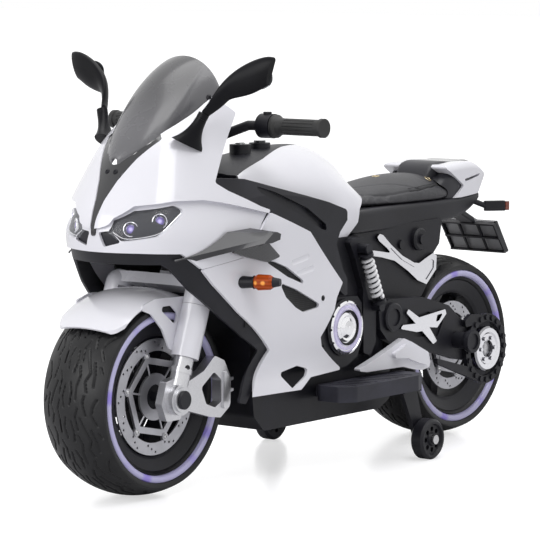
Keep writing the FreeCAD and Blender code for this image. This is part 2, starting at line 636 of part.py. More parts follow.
def build_fairing():
    outer_skin = skin(0.0)
    brow = side_panel(brow_region(), -200, 200, 4)
    band = side_panel(lower_region(), -200, 200, 4)
    upper = outer_skin.common(brow)
    lower = skin(0.0, BROW_STEP).common(band)
    shelf = hull(0.0).cut(hull(SKIN, 10, BROW_STEP)).common(brow).common(band)
    lamp_hole = fuse(side_panel(HEADLAMP, 22, 200, 4), front_panel(LAMP_POCKET, 440, 560, 3))
    trim_gap = front_panel(trim_outline(SEAM), 380, 560, 3)
    cowl = fuse(upper, lower, shelf).cut(lamp_hole).cut(mirrored(lamp_hole))
    cowl = cowl.cut(trim_gap).cut(screen_opening(SCREEN_GAP))
    ledge = screen_ledge().cut(trim_gap.cut(screen_opening(SLIP)))
    ledge = ledge.common(brow)
    keep("nose_cowl", largest(fuse(cowl, ledge)))

    trim = skin(2.0).common(front_panel(trim_outline(0), 380, 560, 3)).cut(screen_opening(SCREEN_GAP))
    keep("nose_trim", largest(trim))
    bubble = loft([screen_section(*station) for station in SCREEN])
    keep("windshield", largest(bubble.cut(hull(LEDGE - SLIP))))

    panel = outer_skin.common(side_panel(side_region(), 20, 200, 3))
    upper_vent = side_panel([(262, 376), (232, 371), (199, 359), (130, 319), (200, 344)], 100, 200, 3)
    main_vent = side_panel([(222, 337), (175, 321), (100, 287), (157, 282), (179, 292), (205, 311)], 100, 200, 4)
    foot_vent = side_panel([(199, 184), (148, 191), (115, 182), (126, 171), (169, 156)], 90, 200, 5)
    panel = panel.cut(upper_vent).cut(main_vent).cut(foot_vent)
    for start, end in GILLS:
        for tool in (rod(start, end, GILL_R), Part.makeSphere(GILL_R, start), Part.makeSphere(GILL_R, end)):
            panel = panel.cut(tool)
    panel = largest(panel)
    keep("fairing_left", panel)
    keep("fairing_right", mirrored(panel))

    lens_skin = hull(0.8, 0.0, BROW_STEP).cut(hull(3.3, 10, BROW_STEP))
    lens = largest(lens_skin.common(side_panel(shrink(HEADLAMP, 0.985), 24, 200, 4)))
    keep("headlamp_lenses", pair(lens))
    keep("headlamp_housings", pair(headlamp_bucket()))

    lie = SKIN + SLIP
    duct = hull(lie, 10).common(hull(lie, 10, BROW_STEP)).cut(hull(lie + SKIN, 10, BROW_STEP)).common(side_panel(
        [(540, CHIN_Z + 5), (434, CHIN_Z + 5), (405, 392), (362, 346), (312, 302), (276, 274), (226, 230), (278, 142),
         (296, 146), (256, 228), (304, 256), (352, 290), (410, 338), (440, 372), (450, 380), (540, 380)], -200, 200, 4))
    keep("intake_duct", largest(duct))


def shrink(points, share):
    """The same outline drawn in towards its middle."""
    cx = sum(p[0] for p in points) / len(points)
    cz = sum(p[1] for p in points) / len(points)
    return [(cx + (x - cx) * share, cz + (z - cz) * share) for x, z in points]


def largest(shape):
    """The main solid of a boolean's result."""
    return max(shape.Solids, key=lambda s: s.Volume)


def winglet():
    """Swept wing on the shoulder of the side panel, with a fin hung under its rear."""
    root = [(430, 379), (443, 387), (392, 430), (318, 436), (250, 425), (250, 404), (340, 388)]
    tip = [(309, 409), (296, 417), (285, 424), (275, 424.5), (266, 421), (268, 412), (288, 408)]
    ends = [Part.makePolygon([V(x, y, z) for x, z in outline + outline[:1]]) for outline, y in ((root, 112), (tip, 186))]
    wing = Part.makeLoft(ends, True, True)
    fin = side_panel([(352, 396), (300, 414), (272, 414), (229, 380), (261, 373), (318, 386)], 151, 156, 2)
    return largest(fuse(wing, fin).cut(hull(-SLIP)))


SIGNAL_ROOT = V(314, 130, 344)
SIGNAL_TIP = V(288, 202, 346)


def signal_point(share):
    return SIGNAL_ROOT + (SIGNAL_TIP - SIGNAL_ROOT) * share


def signal_cone(start, end, r0, r1):
    a, b = signal_point(start), signal_point(end)
    return Part.makeCone(r0, r1, (b - a).Length, a, b - a)


def build_signals():
    base = fuse(signal_cone(0, 0.42, 11, 9), signal_cone(0.42, 0.44, 11, 10.6)).cut(hull(-SLIP))
    lens = fuse(signal_cone(0.44, 0.52, 9.5, 13), signal_cone(0.52, 0.78, 13, 12), signal_cone(0.78, 0.84, 12, 9))
    cap = signal_cone(0.84, 1.0, 8.5, 6)
    keep("front_signals", pair(lens))
    keep("signal_stalks", Part.makeCompound([largest(base), cap, mirrored(largest(base)), mirrored(cap)]))


# Mirrors

MIRROR_FOOT = V(376, 90, 574)
MIRROR_NECK = V(366, 104, 606)
MIRROR_NECK_R = 9.0
MIRROR_PATH = [
    # outward, along, up, half depth, half height, lean outwards
    (106, 361, 613, 7, 9, 0.0),
    (114, 349, 628, 8, 13, 0.0),
    (124, 338, 644, 9, 18, 0.0),
    (140, 329, 660, 11, 24, 0.3),
    (165, 323, 670, 12, 28, 0.3),
    (190, 319, 678, 11, 27, 0.3),
    (206, 317, 682, 8, 22, 0.3),
]


def oval(centre, major, minor):
    return Part.Wire([Part.Ellipse(centre + major, centre + minor, centre).toShape()])


def mirror_axis():
    axis = MIRROR_NECK - MIRROR_FOOT
    axis.normalize()
    return axis


def mirror_foot():
    """Wedge foot drawn up from a long base on the cowl to a round swivel face."""
    axis = mirror_axis()
    along = V(-43, 20, 12)
    along = along - axis * along.dot(axis)
    along.normalize()
    across = axis.cross(along)
    base = oval(MIRROR_FOOT - axis * 10, along * 33, across * 13)
    waist = oval(MIRROR_FOOT + axis * 9, along * 17, across * 9.5)
    neck = oval(MIRROR_NECK, along * (MIRROR_NECK_R + 0.2), across * MIRROR_NECK_R)
    return largest(loft([base, waist, neck]).cut(hull(-SLIP)))


def mirror():
    """Stalk that swells into a teardrop head with a flat back for the glass."""
    axis = mirror_axis()
    collar = Part.makeCylinder(MIRROR_NECK_R, 9, MIRROR_NECK + axis * SLIP, axis)
    sections = [oval(V(x, y, z), V(0, lean * high, high), V(deep, 0, 0)) for y, x, z, deep, high, lean in MIRROR_PATH]
    back = plan_panel([(322, 128), (311, 220), (240, 220), (240, 128)], 600, 740, 1)
    return fuse(loft(sections).cut(back), collar)


def build_mirrors():
    keep("mirror_feet", pair(mirror_foot()))
    left = mirror()
    keep("mirror_left", left)
    keep("mirror_right", mirrored(left))


# Tank, console and rails

TANK = [
    # station, top, half width, waist height, foot height, shoulder fall, edge fall
    (250, 512, 92, 472, 430, 1, 5),
    (190, 528, 97, 466, 405, 3, 14),
    (110, 541, 100, 460, 390, 6, 24),
    (30, 546, 101, 452, 390, 9, 32),
    (-35, 536, 98, 444, 390, 14, 42),
    (-70, 518, 93, 440, 390, 14, 42),
    (-96, 496, 86, 436, 390, 12, 36),
]
TANK_WALL = 4.0
RAIL_IN = 102.0


def tank_section(x, top, half, waist, foot, fall_in, fall_out, inset, drop):
    half, top, foot = half - inset, top - inset, foot - drop
    left = [(0.40 * half, top - fall_in), (0.72 * half, top - fall_out), (0.93 * half, (top - fall_out + waist) / 2),
            (half, waist), (0.975 * half, foot)]
    points = [V(x, -y, z) for y, z in reversed(left)] + [V(x, 0, top)] + [V(x, y, z) for y, z in left]
    curve = Part.BSplineCurve()
    curve.interpolate(points)
    return Part.Wire([curve.toShape(), Part.LineSegment(points[-1], points[0]).toShape()])


def tank_solid(inset, trim_ends=0.0, drop=0.0):
    stations = [list(station) for station in TANK]
    stations[0][0] -= trim_ends
    stations[-1][0] += trim_ends
    return loft([tank_section(*station, inset, drop) for station in stations])


def tank_tail(grow):
    """What is cut from under the tank's rear, along the curve where the tail meets it."""
    return side_panel([(-160, 456), (-92 - grow, 456), (-66 - grow, 434), (-60 - grow, 412), (-24 - grow, 386),
                       (-24 - grow, 300), (-160, 300)], -160, 160, 4)


def tank_body(grow):
    """Whole tank, grown all over, that its neighbours are cut back from."""
    return tank_solid(-grow, -grow).cut(tank_tail(grow))


def console_outline(grow):
    half = [(262, 74), (233, 70), (140, 48), (60, 22), (-10, 8), (-47, 1)]
    left = [(x, y + grow) for x, y in half]
    right = [(x, -y - grow) for x, y in reversed(half)]
    return left + right


def build_tank():
    cavity = tank_solid(TANK_WALL, TANK_WALL, 25)
    shell = tank_solid(0).cut(cavity)
    below = Part.makeBox(600, 300, 100, V(-300, -150, DECK_Z - 100))
    ahead = Part.makeBox(60, 300, 200, V(246 - SEAM, -150, 400))
    shell = shell.cut(below).cut(tank_tail(0))
    tank = shell.cut(plan_panel(console_outline(SEAM), 480, 620, 2)).cut(ahead)
    keep("tank_shell", largest(tank))

    plate = largest(shell.common(plan_panel(console_outline(0), 480, 620, 2)))
    pads = []
    holes = []
    for x in (BUTTON_X, SWITCH_X):
        pads.append(Part.makeCylinder(BUTTON_R + 8, 30, V(x, 0, PAD_Z - 30)))
        holes.append(Part.makeCylinder(BUTTON_R + SLIP, 24, V(x, 0, PAD_Z - 22)))
    tray = plan_panel([(246, -92), (350, -84), (372, -50), (372, 50), (350, 84), (246, 92)], 488, 492, 10)
    riser = front_panel([(-88, 488), (88, 488), (80, 509), (-80, 509)], 246, 250, 3)
    throat = rod(steer_point(HEAD_S + 40), steer_point(HEAD_S + 180), STEM_R + RUN + HEAD_WALL + 3)
    spine_slot = Part.makeBox(30, 30, 22, V(235, -15, 470))
    console = fuse(plate, tray, riser, *pads).cut(throat).cut(spine_slot)
    for hole in holes:
        console = console.cut(hole)
    keep("dash_console", largest(console))

    button = fuse(Part.makeCylinder(BUTTON_R, 12, V(BUTTON_X, 0, PAD_Z - 8)),
                  Part.makeCylinder(BUTTON_R - 4, 8, V(BUTTON_X, 0, PAD_Z - 16)))
    keep("power_button", button)
    ball = Part.makeSphere(BUTTON_R, V(SWITCH_X, 0, PAD_Z - 4))
    rocker = side_panel([(SWITCH_X - 20, PAD_Z + 6), (SWITCH_X, PAD_Z + 1), (SWITCH_X + 20, PAD_Z + 6),
                         (SWITCH_X + 20, PAD_Z - 11), (SWITCH_X - 20, PAD_Z - 11)], -20, 20, 1)
    keep("direction_switch", ball.common(rocker))

    rail = side_panel([(343, 511), (271, 506), (206, 490), (120, 470), (62, 456), (14, 441), (4, 428), (30, 404),
                       (40, 384), (22, 340), (-6, 302), (16, 295), (50, 318), (116, 386), (228, 436), (297, 462), (345, 488)],
                      RAIL_IN, RAIL_IN + 24, 7)
    rail = rail.common(hull(SKIN + SEAM, 0.0, BROW_STEP))
    slot = side_panel([(250, 494), (206, 482), (120, 450), (70, 420), (66, 408), (80, 412), (130, 436), (240, 482)],
                      118, 130, 4)
    keep("frame_rails", pair(largest(rail.cut(slot))))


# Chassis tub, frame and drive

TUB_Y = 98.0
TUB_WALL = 5.0
DECK_Z = 390.0
TUB = [(226, 112), (236, 200), (236, 240), (214, 330), (160, DECK_Z), (-66, DECK_Z), (-80, 352), (-112, 290),
       (-128, 250), (-126, 200), (-150, 160), (-150, 100), (-120, 86), (200, 86)]


def build_chassis():
    tub = side_panel(TUB, -TUB_Y, TUB_Y, 10)
    cavity = side_panel([(218, 116), (228, 200), (228, 238), (206, 326), (156, DECK_Z - 6), (-60, DECK_Z - 6),
                         (-74, 350), (-106, 288), (-120, 250), (-118, 202), (-142, 162), (-142, 104), (-116, 92),
                         (198, 92)], -TUB_Y + TUB_WALL, TUB_Y - TUB_WALL, 8)
    hatch = Part.makeBox(150, 110, 20, V(-20, -55, 80))
    keep("chassis_tub", tub.cut(cavity).cut(hatch))

    outer = STEM_R + RUN + HEAD_WALL
    head = rod(steer_point(HEAD_S), steer_point(HEAD_S + HEAD_LENGTH), outer)
    bend = V(120, 0, DECK_Z + 16)
    spine = rod(steer_point(HEAD_S + HEAD_LENGTH / 2), bend, 14)
    rear = rod(bend, V(-6, 0, DECK_Z + 16), 14)
    gusset = side_panel([(292, 430), (270, 500), (150, 418), (150, 396)], -3, 3, 6)
    saddles = [Part.makeBox(20, 90, 16, V(x, -45, DECK_Z)) for x in (96, -22)]
    frame = fuse(head, spine, rear, Part.makeSphere(14, bend), gusset, *saddles)
    keep("steel_frame", frame.cut(rod(steer_point(HEAD_S - 20), steer_point(HEAD_S + HEAD_LENGTH + 20), STEM_R + RUN)))
    keep("battery_pack", side_panel([(-12, 92), (138, 92), (138, 186), (-12, 186)], -44, 44, 4))
    keep("control_box", fuse(Part.makeBox(70, 80, 34, V(-100, -40, 92)), Part.makeBox(10, 96, 4, V(-72, -48, 92))))

    arm_outline = [(-96, 262), (-125, 276), (-228, 270), (-304, 249), (-352, 214), (-436, 176), (-436, 146),
                   (-400, 138), (-330, 150), (-274, 166), (-184, 180), (-120, 206), (-100, 226)]
    arm = side_panel(arm_outline, ARM_IN, ARM_OUT, 10)
    pocket = side_panel([(-170, 236), (-240, 244), (-290, 228), (-270, 196), (-200, 204)], ARM_OUT - 3, ARM_OUT + 3, 8)
    boss = cross_rod(REAR_X, WHEEL_R, 22, ARM_IN - 14, ARM_OUT)
    cap = lathe([(0, ARM_OUT - 1), (25, ARM_OUT - 1), (25, ARM_OUT + 5), (22, ARM_OUT + 7), (15, ARM_OUT + 7),
                 (15, ARM_OUT + 4), (0, ARM_OUT + 4)], -134, 244)
    spool = lathe([(0, ARM_OUT - 1), (15, ARM_OUT - 1), (15, ARM_OUT + 22), (18, ARM_OUT + 24), (20, ARM_OUT + 30),
                   (20, ARM_OUT + 38), (14, ARM_OUT + 38), (14, ARM_OUT + 35), (0, ARM_OUT + 35)], -328, 185)
    side = fuse(arm.cut(pocket), boss, cap, spool)
    bridge = cross_rod(-205, 225, 13, -ARM_IN, ARM_IN)
    swing = fuse(side, mirrored(side), bridge)
    keep("swing_arm", swing.cut(cross_rod(REAR_X, WHEEL_R, AXLE_R + RUN, -300, 300)))

    nut = cross_rod(REAR_X, WHEEL_R, 13, ARM_OUT, ARM_OUT + 7)
    keep("rear_axle", fuse(cross_rod(REAR_X, WHEEL_R, AXLE_R, -ARM_OUT - 2, ARM_OUT + 2), nut, mirrored(nut)))

    gear_case = fuse(cross_rod(REAR_X, WHEEL_R, 46, -ARM_IN + 15, -70), cross_rod(REAR_X, WHEEL_R, 24, -71, -HUB_HALF - 1),
                     cross_rod(REAR_X + 88, WHEEL_R + 24, 27, -ARM_IN + 0.0, -70),
                     side_panel([(REAR_X - 10, WHEEL_R + 44), (REAR_X + 92, WHEEL_R + 50), (REAR_X + 92, WHEEL_R - 2),
                                 (REAR_X - 10, WHEEL_R - 44)], -ARM_IN + 15, -70, 10))
    keep("gearmotor", gear_case.cut(cross_rod(REAR_X, WHEEL_R, AXLE_R + RUN, -300, 300)))


ARM_IN = 98.0
ARM_OUT = 114.0


def chain():
    """Moulded chain: a studded loop round the rear hub with two runs drawn forward to a point."""
    y0, y1 = ARM_OUT, ARM_OUT + 8
    outer, inner = 63.0, 49.0
    ring = cross_rod(REAR_X, WHEEL_R, outer, y0, y1)
    runs = side_panel([(REAR_X + 12, WHEEL_R + 62), (REAR_X + 48, WHEEL_R + 66), (REAR_X + 66, WHEEL_R + 56),
                       (REAR_X + 64, WHEEL_R + 44), (REAR_X + 40, WHEEL_R + 46), (REAR_X, WHEEL_R + 46)], y0, y1, 4)
    lower = side_panel([(REAR_X + 20, WHEEL_R - 60), (REAR_X + 60, WHEEL_R - 44), (REAR_X + 150, WHEEL_R - 12),
                        (REAR_X + 152, WHEEL_R - 2), (REAR_X + 60, WHEEL_R - 26), (REAR_X + 10, WHEEL_R - 46)], y0, y1, 3)
    loop = fuse(ring, runs, lower).cut(cross_rod(REAR_X, WHEEL_R, inner, y0 - 1, y1 + 1))
    studs = []
    links = 20
    for i in range(links):
        angle = 2 * math.pi * i / links
        mid = (outer + inner) / 2
        cx, cz = REAR_X + mid * math.cos(angle), WHEEL_R + mid * math.sin(angle)
        studs.append(cross_rod(cx, cz, 5.0, y1 - 1, y1 + 3))
    return fuse(loop, *studs)


def build_trims():
    keep("chain_case", chain())
    hub = lathe([(14, ARM_OUT), (40, ARM_OUT), (40, ARM_OUT + 10), (37, ARM_OUT + 13), (30, ARM_OUT + 13),
                 (27, ARM_OUT + 11), (16, ARM_OUT + 11), (14, ARM_OUT + 13)], REAR_X, WHEEL_R)
    bolts = []
    for i in range(6):
        angle = math.pi * i / 3
        bolts.append(cross_rod(REAR_X + 21 * math.cos(angle), WHEEL_R + 21 * math.sin(angle), 3.5, ARM_OUT + 10, ARM_OUT + 14))
    hub = fuse(hub, *bolts)
    cross = fuse(
        side_panel([(-170, 248), (-176, 254), (-232, 224), (-262, 190), (-250, 186), (-222, 208)], ARM_OUT, ARM_OUT + 5, 2),
        side_panel([(-198, 236), (-286, 244), (-290, 236), (-262, 214), (-228, 218)], ARM_OUT, ARM_OUT + 5, 2),
        side_panel([(-152, 222), (-160, 228), (-232, 226), (-240, 212), (-200, 212)], ARM_OUT, ARM_OUT + 5, 2))
    slot = side_panel([(-262, 236), (-280, 238), (-268, 226), (-258, 224)], ARM_OUT - 1, ARM_OUT + 8, 2)
    cross = cross.cut(slot)
    upper = side_panel([(-129, 381), (-136, 386), (-146, 383), (-169, 365), (-203, 343), (-238, 328), (-253, 326),
                        (-275, 334), (-296, 341), (-306, 335), (-304, 311), (-275, 287), (-249, 296), (-218, 316),
                        (-180, 336), (-142, 345), (-105, 351), (-98, 357), (-108, 360), (-135, 356), (-170, 350),
                        (-157, 360), (-134, 374)], WEB_Y, WEB_Y + 6, 2)
    groove = side_panel([(-150, 372), (-203, 336), (-240, 320), (-256, 318), (-290, 330), (-298, 327), (-297, 314), (-275, 295),
                         (-252, 303), (-222, 322), (-190, 341)], WEB_Y + 4.5, WEB_Y + 8, 2)
    upper = upper.cut(groove)
    keep("chrome_trims", Part.makeCompound([hub, mirrored(hub), cross, mirrored(cross), upper, mirrored(upper)]))

    cover = side_panel([(92, 178), (116, 225), (92, 278), (66, 291), (12, 291), (-40, 289), (-52, 276), (-54, 214),
                        (-40, 186), (-10, 172), (60, 168)], TUB_Y, TUB_Y + 12, 8)
    rim_boss = cross_rod(ENGINE_X, ENGINE_Z, ENGINE_R + 3, TUB_Y + 11, TUB_Y + 16)
    ribs = [Part.makeBox(30, 6, 4, V(54, TUB_Y + 10, z)) for z in (192, 201, 210)]
    cover = fuse(cover, rim_boss).cut(Part.makeCompound(ribs))
    keep("engine_covers", pair(cover))
    face = TUB_Y + 16
    bezel = lathe([(30, face), (ENGINE_R, face), (ENGINE_R, face + 4), (ENGINE_R - 4, face + 6), (ENGINE_R - 6, face + 3),
                   (31, face + 3), (30, face + 6)], ENGINE_X, ENGINE_Z)
    for i in range(12):
        angle = math.pi * i / 6
        bezel = bezel.cut(cross_rod(ENGINE_X + ENGINE_R * math.cos(angle), ENGINE_Z + ENGINE_R * math.sin(angle), 2.2,
                                    face - 1, face + 8))
    hub_cap = lathe([(0, face), (26, face), (26, face + 3), (22, face + 6), (18, face + 4), (12, face + 8), (0, face + 9)],
                    ENGINE_X, ENGINE_Z)
    keep("engine_rings", pair(Part.makeCompound([bezel, hub_cap])))
    glow = lathe([(32, face + 3), (ENGINE_R - 7, face + 3), (ENGINE_R - 8, face + 6), (33, face + 6)], ENGINE_X, ENGINE_Z)
    keep("engine_lamps", pair(glow))

    wing = side_panel([(-15, 164), (-80, 182), (-154, 206), (-176, 198), (-226, 175), (-232, 158), (-229, 148), (-207, 145),
                       (-179, 150), (-152, 157), (-46, 159)], ARM_OUT, ARM_OUT + 12, 5)
    roll = side_panel([(-96, 178), (-152, 196), (-214, 170), (-222, 158), (-214, 154), (-190, 160), (-156, 172)],
                      ARM_OUT + 8, ARM_OUT + 20, 6)
    keep("belly_wings", pair(fuse(wing, roll)))


ENGINE_X = -1.0
ENGINE_Z = 239.0
ENGINE_R = 45.5
WEB_Y = 80.0

# Rear shock

SHOCK_TOP = V(-50, 122, 356)
SHOCK_LOW = V(-84, 122, 280)
COIL_R = 8.2
WIRE_R = 3.2
TURNS = 8


def helix_frame():
    axis = SHOCK_TOP - SHOCK_LOW
    length = axis.Length
    axis.normalize()
    side = V(0, 1, 0)
    other = axis.cross(side)
    return axis, side, other, length


def helix_point(turn, rise, start):
    axis, side, other, length = helix_frame()
    angle = 2 * math.pi * turn
    spot = SHOCK_LOW + axis * (start + rise * turn) + side * (COIL_R * math.cos(angle)) + other * (COIL_R * math.sin(angle))
    tangent = axis * rise + (side * -math.sin(angle) + other * math.cos(angle)) * (2 * math.pi * COIL_R)
    tangent.normalize()
    return spot, tangent


def arc_from(start, tangent, end):
    """Arc that leaves start along tangent and reaches end."""
    chord = end - start
    length = chord.Length
    along = V(chord)
    along.normalize()
    aside = tangent - along * tangent.dot(along)
    aside.normalize()
    turn = math.acos(max(-1.0, min(1.0, tangent.dot(along))))
    middle = start + chord * 0.5 + aside * (length / 2 * math.tan(turn / 2))
    return Part.Arc(start, middle, end).toShape()


def spring():
    """Wound spring: one tube on pairs of tangent arcs, two to each quarter turn."""
    length = helix_frame()[3]
    start = WIRE_R + SLIP
    rise = (length - 2 * start) / TURNS
    edges = []
    steps = TURNS * 4
    for i in range(steps):
        p0, t0 = helix_point(i / 4, rise, start)
        p1, t1 = helix_point((i + 1) / 4, rise, start)
        v, t = p1 - p0, t0 + t1
        k = 2 * (1 - t0.dot(t1))
        d = (-v.dot(t) + math.sqrt(v.dot(t) ** 2 + k * v.dot(v))) / k
        joint = ((p0 + t0 * d) + (p1 - t1 * d)) * 0.5
        edges.append(arc_from(p0, t0, joint))
        back = arc_from(p1, t1 * -1, joint)
        edges.append(Part.Arc(joint, back.valueAt((back.FirstParameter + back.LastParameter) / 2), p1).toShape())
    path = Part.Wire(edges)
    p0, t0 = helix_point(0, rise, start)
    circle = Part.Wire([Part.Circle(p0, t0, WIRE_R).toShape()])
    solid = path.makePipeShell([circle], True, False)
    near = min((helix_point(a / 24, rise, start)[0] - helix_point(b / 24, rise, start)[0]).Length
               for a in range(24 * TURNS + 1) for b in range(a + 12, 24 * TURNS + 1))
    print(f"spring: least gap between turns {near - 2 * WIRE_R:.2f} mm")
    return solid


def build_shock():
    axis = helix_frame()[0]
    coil = spring()
    keep("shock_springs", pair(coil))
    reach = COIL_R + WIRE_R + 1
    top_cup = Part.makeCylinder(reach, 6, SHOCK_TOP, axis)
    low_cup = Part.makeCylinder(reach, 6, SHOCK_LOW - axis * 6, axis)
    damper = rod(SHOCK_LOW - axis * 3, SHOCK_TOP + axis * 3, COIL_R - WIRE_R - 0.8)
    bracket = side_panel([(-18, 380), (-26, 388), (-58, 388), (-70, 374), (-72, 352), (-60, 338), (-64, 300), (-72, 280), (-94, 274),
                          (-93, 206), (-78, 182), (-58, 190), (-56, 300), (-40, 336), (-34, 352)], TUB_Y, TUB_Y + 12, 4)
    top_eye = cross_rod(SHOCK_TOP.x + 3, SHOCK_TOP.z + 13, 9, TUB_Y, SHOCK_TOP.y + 8)
    low_eye = cross_rod(SHOCK_LOW.x - 3, SHOCK_LOW.z - 13, 8, TUB_Y, SHOCK_LOW.y + 6)
    keep("shock_mounts", pair(fuse(bracket, top_eye, low_eye, top_cup, damper, low_cup)))


# Seat and tail

SEAT = [
    # station, half width, foot height, edge height, crown height
    (-97, 54, 432, 445, 456),
    (-120, 63, 432, 446, 457),
    (-155, 70, 432, 446, 460),
    (-200, 75, 432, 447, 467),
    (-252, 77, 432, 449, 474),
    (-310, 77, 432, 451, 476),
    (-352, 72, 432, 450, 473),
    (-372, 62, 432, 448, 464),
]


def seat_section(x, half, foot, edge, crown, grow):
    half, foot, edge, crown = half + grow, foot - grow, edge + grow, crown + grow
    low_half = half - 7
    points = [V(x, -low_half, foot), V(x, -half, (foot + edge) / 2), V(x, -half + 5, edge + 1), V(x, 0, crown),
              V(x, half - 5, edge + 1), V(x, half, (foot + edge) / 2), V(x, low_half, foot)]
    return Part.Wire([
        Part.Arc(points[0], points[1], points[2]).toShape(),
        Part.Arc(points[2], points[3], points[4]).toShape(),
        Part.Arc(points[4], points[5], points[6]).toShape(),
        Part.LineSegment(points[6], points[0]).toShape(),
    ])


def seat_body(grow):
    return loft([seat_section(*station, grow) for station in SEAT])


TAIL_HUMP = [
    # station, half width, foot, top, foot radius, top radius
    (-346, 33, 452, 470, 4, 6),
    (-360, 37, 440, 489, 4, 8),
    (-400, 44, 436, 495, 4, 10),
    (-450, 43, 438, 495, 4, 10),
    (-488, 37, 452, 488, 4, 8),
]
TAIL_BLOCK = [
    (-350, 60, 430, 458, 4, 10),
    (-380, 66, 428, 478, 4, 14),
    (-440, 61, 430, 481, 4, 14),
    (-480, 50, 440, 472, 4, 12),
]


def tail_core(grow):
    """Dark hump and its shoulders behind the seat."""
    parts = []
    for stations in (TAIL_HUMP, TAIL_BLOCK):
        parts.append(loft([box_section(x, half + grow, foot - grow, top + grow, low, high)
                           for x, half, foot, top, low, high in stations]))
    return fuse(*parts)


def build_seat_and_tail():
    seat = seat_body(0).cut(tank_body(SLIP))
    keep("seat_cushion", largest(seat))

    base = loft([box_section(-26, 90, DECK_Z, 428, 6, 8), box_section(-90, 89, DECK_Z, 430, 8, 8),
                 box_section(-150, 84, 390, 431, 8, 8), box_section(-280, 78, 391, 431.5, 8, 8),
                 box_section(-400, 70, 397, 431.5, 8, 6), box_section(-476, 58, 424, 436, 4, 4)])
    web = side_panel([(-50, DECK_Z - 8), (-60, 396), (-330, 400), (-322, 356), (-298, 334), (-284, 284), (-268, 266), (-200, 258),
                      (-118, 262), (-84, 338)], WEB_Y - 10, WEB_Y, 5)
    charge_cap = lathe([(0, WEB_Y - 1), (20, WEB_Y - 1), (20, WEB_Y + 6), (17, WEB_Y + 9), (9, WEB_Y + 9), (9, WEB_Y + 13),
                        (0, WEB_Y + 13)], -256, 368)
    stud = cross_rod(-206, 362, 8, WEB_Y - 1, WEB_Y + 4)
    side = fuse(web, charge_cap, stud)
    above = Part.makeBox(355, 300, 60, V(-375, -150, 431.7))
    base = fuse(base.cut(above), side, mirrored(side)).cut(tank_body(SEAM)).cut(side_panel(TUB, -TUB_Y, TUB_Y, 10))
    keep("tail_base", largest(base))

    keep("tail_pad", largest(tail_core(0).cut(seat_body(0.4)).cut(loft_tail_floor())))

    cowl = loft([box_section(-350, 71, 424, 490, 6, 12), box_section(-410, 71, 424, 494, 6, 12),
                 box_section(-460, 65, 424, 492, 6, 12), box_section(-506, 52, 440, 474, 6, 10)])
    cowl = cowl.common(side_panel([(-356, 486), (-370, 494), (-446, 494), (-500, 468), (-462, 433), (-372, 426), (-412, 452)],
                                  34, 120, 3))
    slot = side_panel([(-414, 464), (-416, 459), (-470, 467), (-474, 471)], 40, 120, 1)
    cowl = largest(cowl.cut(tail_core(SEAM)).cut(loft_tail_floor()).cut(seat_body(0.4)).cut(slot))
    keep("tail_cowl", pair(cowl))


def loft_tail_floor():
    """Block under the tail cowl and pad that keeps them on the tail base."""
    return side_panel([(-300, 300), (-300, 431.8), (-402, 431.8), (-478, 436.3), (-478, 300)], -150, 150, 0.2)


def build_rear():
    stem = loft([box_section(-440, 20, 412, 425, 3, 3), box_section(-500, 16, 384, 396, 3, 3),
                 box_section(-540, 16, 366, 378, 3, 3)])
    tilt = [(PLATE_X + 44, 378), (PLATE_X + 38, 380), (PLATE_X, 322), (PLATE_X + 6, 319)]
    plate = side_panel(tilt, -60, 60, 1)
    ribs = []
    for y in (-60, -22, 20, 57):
        ribs.append(side_panel([(PLATE_X + 44, 376), (PLATE_X + 50, 372), (PLATE_X + 11, 318), (PLATE_X + 5, 320)], y, y + 3, 0.5))
    for share in (0.0, 0.47, 0.93):
        x, z = PLATE_X + 6 + 38 * share, 320 + 56 * share
        ribs.append(side_panel([(x, z), (x + 8, z - 2), (x + 10, z + 1), (x + 2, z + 4)], -60, 60, 0.5))
    keep("plate_holder", fuse(plate, stem, *ribs).cut(tail_copy()))


PLATE_X = REAR_X - WHEEL_R


def tail_copy():
    return NODES["tail_base"]


# Footboards and stabilisers

